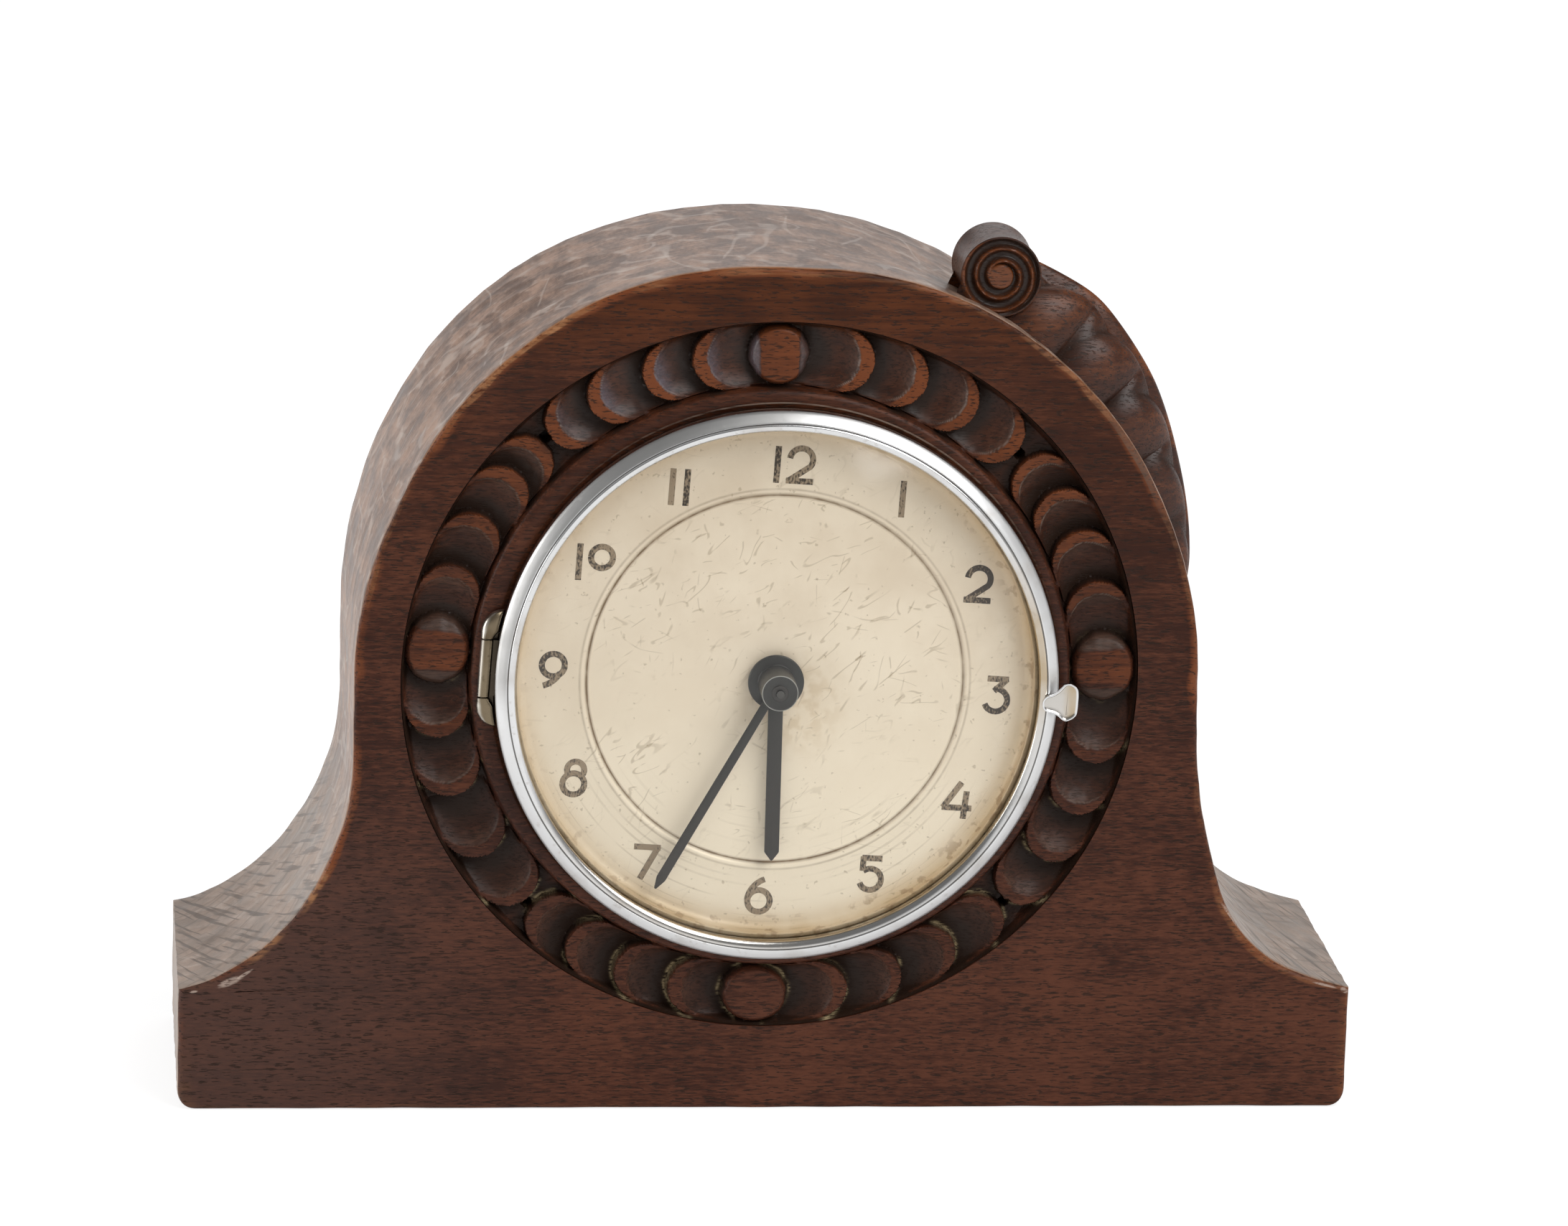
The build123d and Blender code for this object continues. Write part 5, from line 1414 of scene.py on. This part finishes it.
nut_section = [(1.15, 12.45), (2.25, 12.45), (2.3, 12.5), (2.3, 12.75), (2.15, 12.9), (1.3, 12.95),
               (1.15, 12.85)]
nut = turned("nut_cap", nut_section, steps=64)
dress(nut, "minute_group", lacquer, ["hand_nut"])

# %% [markdown]
# ## Thumb tab
#
# The tab is a dished plate, narrow at the bezel and wide at its end, set a little askew. It was drawn as it
# is seen, from above, so its height is stretched back, and cutting its corners twice rounds the outline.
# Insets dish the front face and leave a rolled rim, which catches the light. The dish is dull and tarnished.

# %% Thumb tab
TAB_U = 73.5
TAB_V = 0.45
TAB_BACK = 8.2
TAB_FRONT = 9.2
tab_drawn = [(0.0, 0.0), (0.3, 1.25), (1.25, 2.3), (2.9, 2.62), (4.55, 3.65), (5.55, 4.75), (6.2, 5.5),
             (7.3, 5.85), (8.9, 5.35), (9.95, 4.3), (10.15, 2.6), (10.1, 0.6), (10.0, -1.4), (9.8, -2.9),
             (9.0, -3.8), (8.0, -4.4), (6.7, -4.8), (5.7, -4.35), (4.9, -3.55), (4.0, -2.9), (2.9, -2.45),
             (1.4, -2.2), (0.35, -1.3)]
x, y = np.array(tab_drawn).T
y = y / cos(HEIGHT)
tab_u = TAB_U + x * cos(TURN) - y * sin(TURN)
tab_v = x * sin(TURN) + y * cos(TURN) + TAB_V
tab_outline = np.stack([tab_u, tab_v], axis=1)
for _ in range(2):
    ahead = np.roll(tab_outline, -1, axis=0)
    pair = np.stack([tab_outline * 0.75 + ahead * 0.25, tab_outline * 0.25 + ahead * 0.75], axis=1)
    tab_outline = pair.reshape(-1, 2)
tab = plate("tab", tab_outline, TAB_BACK, TAB_FRONT)
bpy.ops.object.mode_set(mode="EDIT")
bpy.ops.mesh.select_all(action="DESELECT")
bpy.ops.object.mode_set(mode="OBJECT")
for face in tab.data.polygons:
    face.select = face.normal.y < -0.9
bpy.ops.object.mode_set(mode="EDIT")
bpy.ops.mesh.select_mode(type="FACE")
bpy.ops.mesh.inset(thickness=0.40 * MM, depth=0)
bpy.ops.mesh.inset(thickness=0.35 * MM, depth=-0.35 * MM)
bpy.ops.mesh.inset(thickness=0.9 * MM, depth=-0.15 * MM)
bpy.ops.mesh.select_mode(type="VERT")
bpy.ops.object.mode_set(mode="OBJECT")
soften(tab, 0.12, 2, 30)
spot = all_points(tab)
rim_spot = dial_points(*tab_outline.T, TAB_FRONT) / MM
from_rim = spot[:, None] - rim_spot[None, :]
inward = np.min(np.hypot(from_rim[..., 0], from_rim[..., 2]), axis=1)
inside = smooth_step(0.45, 0.75, inward)
mark(tab, "dull", 0.42 * inside)
mark(tab, "tarnish", inside * (0.25 + 0.55 * smooth_step(78.5, 82.0, spot[:, 0])))
dress(tab, "door", chrome, ["thumb_tab"])

# %% [markdown]
# ## Knuckles
#
# The hinge has three knuckles on one pin. The end ones change their section as they bend, so a knuckle is a
# tube of rounded sections along the pin, closed at both ends. The outer side is rubbed and carries a painted
# highlight, and the side beside the bezel is darkened as painted shade.

# %% Knuckles
HINGE_U = -81.2
HINGE_W = 2.6
BARREL = 1.75


def tube(name, sections, power=2.5):
    around = np.linspace(0, 2 * pi, 41)
    ring_u = np.sign(np.cos(around)) * np.abs(np.cos(around)) ** (2 / power)
    ring_w = np.sign(np.sin(around)) * np.abs(np.sin(around)) ** (2 / power)
    rows, rubbed, grime = [], [], []
    for v, left, right, low, high in sections:
        u = (left + right) / 2 + ring_u * (right - left) / 2
        w = (low + high) / 2 + ring_w * (high - low) / 2
        part = (u - left) / max(right - left, 0.01)
        rows.append(dial_points(u, v, w) / MM)
        # Painted highlight, with wear, along the outer side of each section.
        rubbed.append(0.8 * smooth_step(0.32, 0.10, part) * (0.7 + 0.5 * drift(v * 3 + 0 * u, u, 4, 71)))
        # Painted shade on the side next to the bezel.
        grime.append(smooth_step(0.80, 0.96, part))
    return draped(name, np.stack(rows), rubbed=np.stack(rubbed), grime=np.stack(grime))


def capped(sections, inset=0.15):
    v, left, right, low, high = sections[0]
    first = [(v, (left + right) / 2, (left + right) / 2, HINGE_W, HINGE_W),
             (v, left + inset, right - inset, low + inset, high - inset)]
    return first + [(v + np.sign(sections[1][0] - v) * inset, left, right, low, high)] + sections[1:]


print("hinge axis at", dial_points(HINGE_U, 0, HINGE_W))

# %% [markdown]
# ## Hinge leaf on the case
#
# The two end knuckles belong to the case. Each bends round to the bezel in a quarter of an oval and ends
# beside it. A thin plate under them joins the two; it is nearly hidden and painted dark, as shade.

# %% Hinge leaf on the case
HINGE_START = 8.4
HINGE_END = 16.65
BEND_START = 10.2
PLATE_TOP = 0.7
BENT_END = 1.5
CLEARANCE = 0.3


def end_knuckle(way):
    sections = [(way * HINGE_START, HINGE_U - BARREL, HINGE_U + BARREL, PLATE_TOP, HINGE_W + BARREL)]
    for v in np.linspace(HINGE_START + 0.6, HINGE_END, 30):
        t = max((v - BEND_START) / (HINGE_END - BEND_START), 0)
        right = -np.sqrt(BEZEL ** 2 - v ** 2) - CLEARANCE
        bent = np.sqrt(max(1 - t ** 2, 0.0))
        spread = smooth_step(HINGE_START, 11.0, v)
        right = (HINGE_U + BARREL) * (1 - spread) + right * spread
        left = right - (right - HINGE_U + BARREL) * bent
        low = PLATE_TOP + 0.5 * (1 - bent)
        high = BENT_END + (HINGE_W + BARREL - BENT_END) * bent ** 0.6
        sections.append((way * v, left, right, low, high))
    return tube("hinge_end", capped(sections))


base_outline = [(-82.0, 9.6), (-81.3, 12.4), (-79.6, 14.2), (-77.6, 15.0), (-78.3, 8.0), (-78.3, -8.0),
                (-77.6, -15.0), (-79.6, -14.2), (-81.3, -12.4), (-82.0, -9.6)]
base = plate("hinge_base", base_outline, 0.02, PLATE_TOP)
# The plate is painted dark, as shade.
mark(base, "grime", np.ones(len(base.data.vertices)))
ends = join("hinge_ends", [end_knuckle(1), end_knuckle(-1), base])
dress(ends, "case", hinge_metal, ["hinge_leaf_case"], angle=40)

# %% [markdown]
# ## Hinge knuckle on the door and pin
#
# The middle knuckle is a plain round barrel with a short strap to the bezel, and it turns with the door. The
# pin runs through it and ends inside the two end knuckles. Both are rods, so one function makes a half,
# closed at its end, and its mirror image.

# %% Hinge knuckle on the door and pin
MIDDLE_HALF = 8.15
PIN_HALF = 11.5
PIN = 0.7


def rod(name, half_length, radius):
    around = (HINGE_U - radius, HINGE_U + radius, HINGE_W - radius, HINGE_W + radius)
    one_half = capped([(-half_length, *around), (0, *around)])
    mirrored = [(-v, *rest) for v, *rest in reversed(one_half[:-1])]
    return tube(name, one_half + mirrored, 2.0)


middle = rod("hinge_middle", MIDDLE_HALF, BARREL)
strap = plate("hinge_strap", [(-80.6, -7.9), (-77.4, -7.9), (-77.4, 7.9), (-80.6, 7.9)], 1.6, 2.5)
# The strap is painted dark, as shade.
mark(strap, "grime", np.ones(len(strap.data.vertices)))
knuckle = join("hinge_knuckle", [middle, strap])
dress(knuckle, "door", hinge_metal, ["hinge_leaf_bezel"], angle=40)

pin = rod("pin_of_hinge", PIN_HALF, PIN)
dress(pin, "case", hinge_metal, ["hinge_pin"], angle=40)

# %% [markdown]
# ## Leaf blade
#
# A carved leaf lies on the right shoulder. Its blade is a sheet wrapped over a dome: lobes along both edges,
# a midrib and slanting veins. Its width and height change along the arch, so the sheet is worked out from a
# few widths and heights, which a window blends. Lofting by hand would give the same, with less even veins.

# %% Leaf blade
LEAF_Y = -26.0
LEAF_ANGLES = (11.5, 12.5, 19, 28, 38, 50, 62, 66)
LEAF_WIDTHS = (2.0, 5.0, 11.0, 19.0, 26.0, 27.0, 20.0, 18.0)
LEAF_HEIGHTS = (1.0, 3.0, 6.5, 11.0, 17.0, 21.5, 18.0, 14.0)
LEAF_LOBES = 5.5
LEAF_UNDER = -0.9
ACROSS = 61


def eased(angles, values, at):
    fine = np.linspace(min(angles), max(angles), 400)
    rough = np.interp(fine, angles, values)
    window = np.hanning(61)
    padded = np.pad(rough, 30, mode="edge")
    return np.interp(at, fine, np.convolve(padded, window / window.sum(), mode="valid"))


place_at = np.linspace(LEAF_ANGLES[0], LEAF_ANGLES[-1], 150)[:, None]
across = np.concatenate([np.linspace(-1, 1, ACROSS), np.linspace(1, -1, 13)[1:]])[None, :]
upper = (np.arange(across.shape[1]) < ACROSS)[None, :]
width = eased(LEAF_ANGLES, LEAF_WIDTHS, place_at)
height = eased(LEAF_ANGLES, LEAF_HEIGHTS, place_at)
lobe = (place_at - 12) / 52 * LEAF_LOBES
edge_lobe = np.abs(np.sin(pi * lobe)) ** 0.6
half_width = width / 2 * (0.74 + 0.26 * edge_lobe)
side = np.abs(across)
vein = np.abs(np.sin(pi * (lobe + 0.5 * (1 - side)))) ** 0.7
dome_shape = np.clip(1 - side ** 2.4, 0, 1) ** 0.62
midrib = 0.05 * hump(side, 0, 0.09) - 0.10 * hump(side, 0.21, 0.07)
cuts = 0.17 * (1 - vein) * smooth_step(0.12, 0.4, side)
rise = np.where(upper, height * (dome_shape * (0.93 - cuts) + midrib * dome_shape), LEAF_UNDER)
angle = np.radians(place_at)
leaf_points = np.stack(np.broadcast_arrays((ARCH + rise) * np.cos(angle), LEAF_Y + half_width * across,
                                           DIAL_Z + (ARCH + rise) * np.sin(angle)), axis=-1)
leaf_wear = np.broadcast_to(smooth_step(0.6, 0.95, vein) * 0.55 + 0.5 * hump(side, 0, 0.1), rise.shape)
# Darker in the cuts between the lobes.
leaf_grime = np.broadcast_to((1 - vein) * smooth_step(0.1, 0.4, side) * 0.8, rise.shape)
blade = draped("leaf_blade", leaf_points, wear=leaf_wear, grime=leaf_grime)
print("leaf up to", round(width.max(), 1), "mm wide and", round(rise.max(), 1), "mm high")

# %% [markdown]
# ## Volute
#
# At the top the leaf rolls into a volute, a drum with a spiral cut in both ends and a raised eye. The spiral
# is a wave whose phase grows with the distance and with the angle, so one formula cuts both ends. The rim
# is a little hollow. Blade and volute are joined into one leaf scroll.

# %% Volute
VOLUTE_ANGLE = radians(62)
VOLUTE = 11.3
VOLUTE_WIDTH = 22.6
VOLUTE_REACH = ARCH + 10.9
EYE = 3.7
PITCH = 3.5
END_ROWS = 40
RIM_ROWS = 11
centre_x = VOLUTE_REACH * cos(VOLUTE_ANGLE)
centre_z = DIAL_Z + VOLUTE_REACH * sin(VOLUTE_ANGLE)
around = np.linspace(0, 2 * pi, 145)[None, :]
end_reach = np.linspace(0.02, VOLUTE - 0.5, END_ROWS)
reach = np.concatenate([end_reach, np.full(RIM_ROWS, VOLUTE), end_reach[::-1]])
end_depth = np.ones(END_ROWS)
depth_at = np.concatenate([-end_depth, np.linspace(-0.97, 0.97, RIM_ROWS), end_depth])
reach, depth_at = reach[:, None], depth_at[:, None]
phase = (reach / PITCH + around / (2 * pi)) % 1.0
ridge = hump(phase, 0.5, 0.21)
eye = smooth_step(EYE, EYE - 0.5, reach)
cut = (1 - eye) * 1.7 * (1 - ridge) * smooth_step(VOLUTE, VOLUTE - 1.6, reach)
cut = cut - eye * 0.2 * (1 - (reach / EYE) ** 2)
on_rim = np.abs(depth_at) < 0.98
flute = np.where(on_rim, 0.9 * (1 - depth_at ** 2), 0)
drum_y = LEAF_Y + depth_at * VOLUTE_WIDTH / 2 - np.sign(depth_at) * np.where(on_rim, 0, cut)
drum_points = np.stack(np.broadcast_arrays(centre_x + (reach - flute) * np.cos(around), drum_y,
                                           centre_z + (reach - flute) * np.sin(around)), axis=-1)
flat_wear = np.where(on_rim, 0.25, np.maximum(ridge, eye) * 0.7) + 0 * around
# Darker in the spiral cut.
flat_grime = np.where(on_rim, 0.0, (1 - ridge) * (1 - eye) * 0.9) + 0 * around
volute = draped("leaf_volute", drum_points, wear=flat_wear, grime=flat_grime)
leaf = join("leaf_scroll", [blade, volute])
dress(leaf, "case", oak_leaf, ["shoulder_leaf"], angle=45)

# %% [markdown]
# ## Finishes for the rest
#
# The back cover, the screws and the movement keep their CAD shapes, which are made for just this. Each takes
# the finish of its material slot in the record, but for a few that have aged in another way.

# %% Finishes for the rest
finishes = {"oak": oak_face, "chrome": chrome, "glass": glass, "silvered": silvered, "black": lacquer,
            "hinge_metal": hinge_metal, "brass": brass, "steel": steel}
aged = {"dial_pan": old_brass, "glass_retainer": silvered, "centre_arbor": dark_steel,
        "cannon_pinion": dark_steel}
for subpart in frame["record"]["subparts"]:
    node = frame["nodes"][subpart["node"]]
    for place in node.material_slots:
        place.material = aged.get(subpart["node"], finishes[subpart["material_slot"]])

# %% [markdown]
# ## Floor
#
# The clock stands on white paper. The floor glows to the camera and to mirrored rays, under a thin grey coat
# that takes the soft shadow. To all other light it is plain white paper. More light on a grey floor would
# make it white too, but then the clock would be too bright.

# %% Floor
FLOOR_WHITE = (0.80, 0.80, 0.80, 1)
SHADOW_GREY = (0.27, 0.27, 0.27, 1)
GLOW = 0.80
FLOOR_SIZE = 14
FLOOR_DROP = -0.0002


def shown_white(start):
    seen = start.node("LightPath", out="Is Camera Ray")
    mirrored = start.node("LightPath", out="Is Glossy Ray")
    through = start.node("LightPath", out="Is Transmission Ray")
    return seen.most(mirrored).most(through)


def background(name, colour):
    material, shader, place = new_finish(name)
    feed(shader, "Base Color", colour)
    feed(shader, "Roughness", 0.9)
    feed(shader, "Specular IOR Level", 0.0)
    tree = material.node_tree
    glow = place.node("Emission", {}, {"Color": (1, 1, 1, 1), "Strength": GLOW}, out=0)
    plain = Wire(tree, shader.outputs[0])
    thin = place.node("BsdfDiffuse", {}, {"Color": SHADOW_GREY}, out=0)
    both = place.node("AddShader", {}, {0: thin, 1: glow}, out=0)
    chosen = place.node("MixShader", {}, {0: shown_white(place), 1: plain, 2: both}, out=0)
    tree.links.new(chosen.socket, tree.nodes["Material Output"].inputs["Surface"])
    return material


bpy.ops.mesh.primitive_plane_add(size=FLOOR_SIZE, location=(0, 0, FLOOR_DROP))
floor = take("floor")
floor.data.materials.append(background("floor_white", FLOOR_WHITE))
print("floor", FLOOR_SIZE, "m wide")

# %% [markdown]
# ## Sky
#
# The sky is white to the camera. What metal and glass mirror of it is white near the horizon and greyer
# overhead, as a studio's ceiling is, so that polished bevels show light and dark. To all other light it is
# dimmer, and it fills the shadows.

# %% Sky
CEILING = 0.74
FILL = 0.55
world = bpy.data.worlds.new("sky")
world.use_nodes = True
bpy.context.scene.world = world
sky = Wire(world.node_tree)
white = shown_white(sky)
seen = sky.node("LightPath", out="Is Camera Ray")
toward = sky.node("TexCoord", out="Generated")
overhead = toward.axis("Z").rise(-0.02, 0.30)
shade = world.node_tree.nodes["Background"]
strength = white * (1 - overhead * (1 - seen) * CEILING) + (1 - white) * FILL
sky.tree.links.new(strength.socket, shade.inputs["Strength"])
shade.inputs["Color"].default_value = (1, 1, 1, 1)
print("sky fills the shadows with", FILL)

# %% [markdown]
# ## Lamps
#
# A broad lamp high on the right models the carving. A low one at the left side lights the edges that face it,
# and one behind lights the top. Broad lamps are chosen, because small ones would cut hard shadows that the
# soft light of a room does not have.

# %% Lamps
def lamp(name, place, aim, size, power):
    bpy.ops.object.light_add(type="AREA", location=place)
    light = take(name)
    light.data.energy = power
    light.data.size = size
    light.visible_camera = False
    light.rotation_euler = (Vector(aim) - Vector(place)).to_track_quat("-Z", "Y").to_euler()
    print(name, "lamp of", power, "W")


lamp("key", (1.1, -1.3, 1.7), (0, 0, 0.12), 1.5, 35)
lamp("left", (-1.7, -0.1, 0.35), (0, 0, 0.12), 1.0, 19)
lamp("rear", (0.2, 1.7, 1.5), (0, 0, 0.15), 1.6, 10)
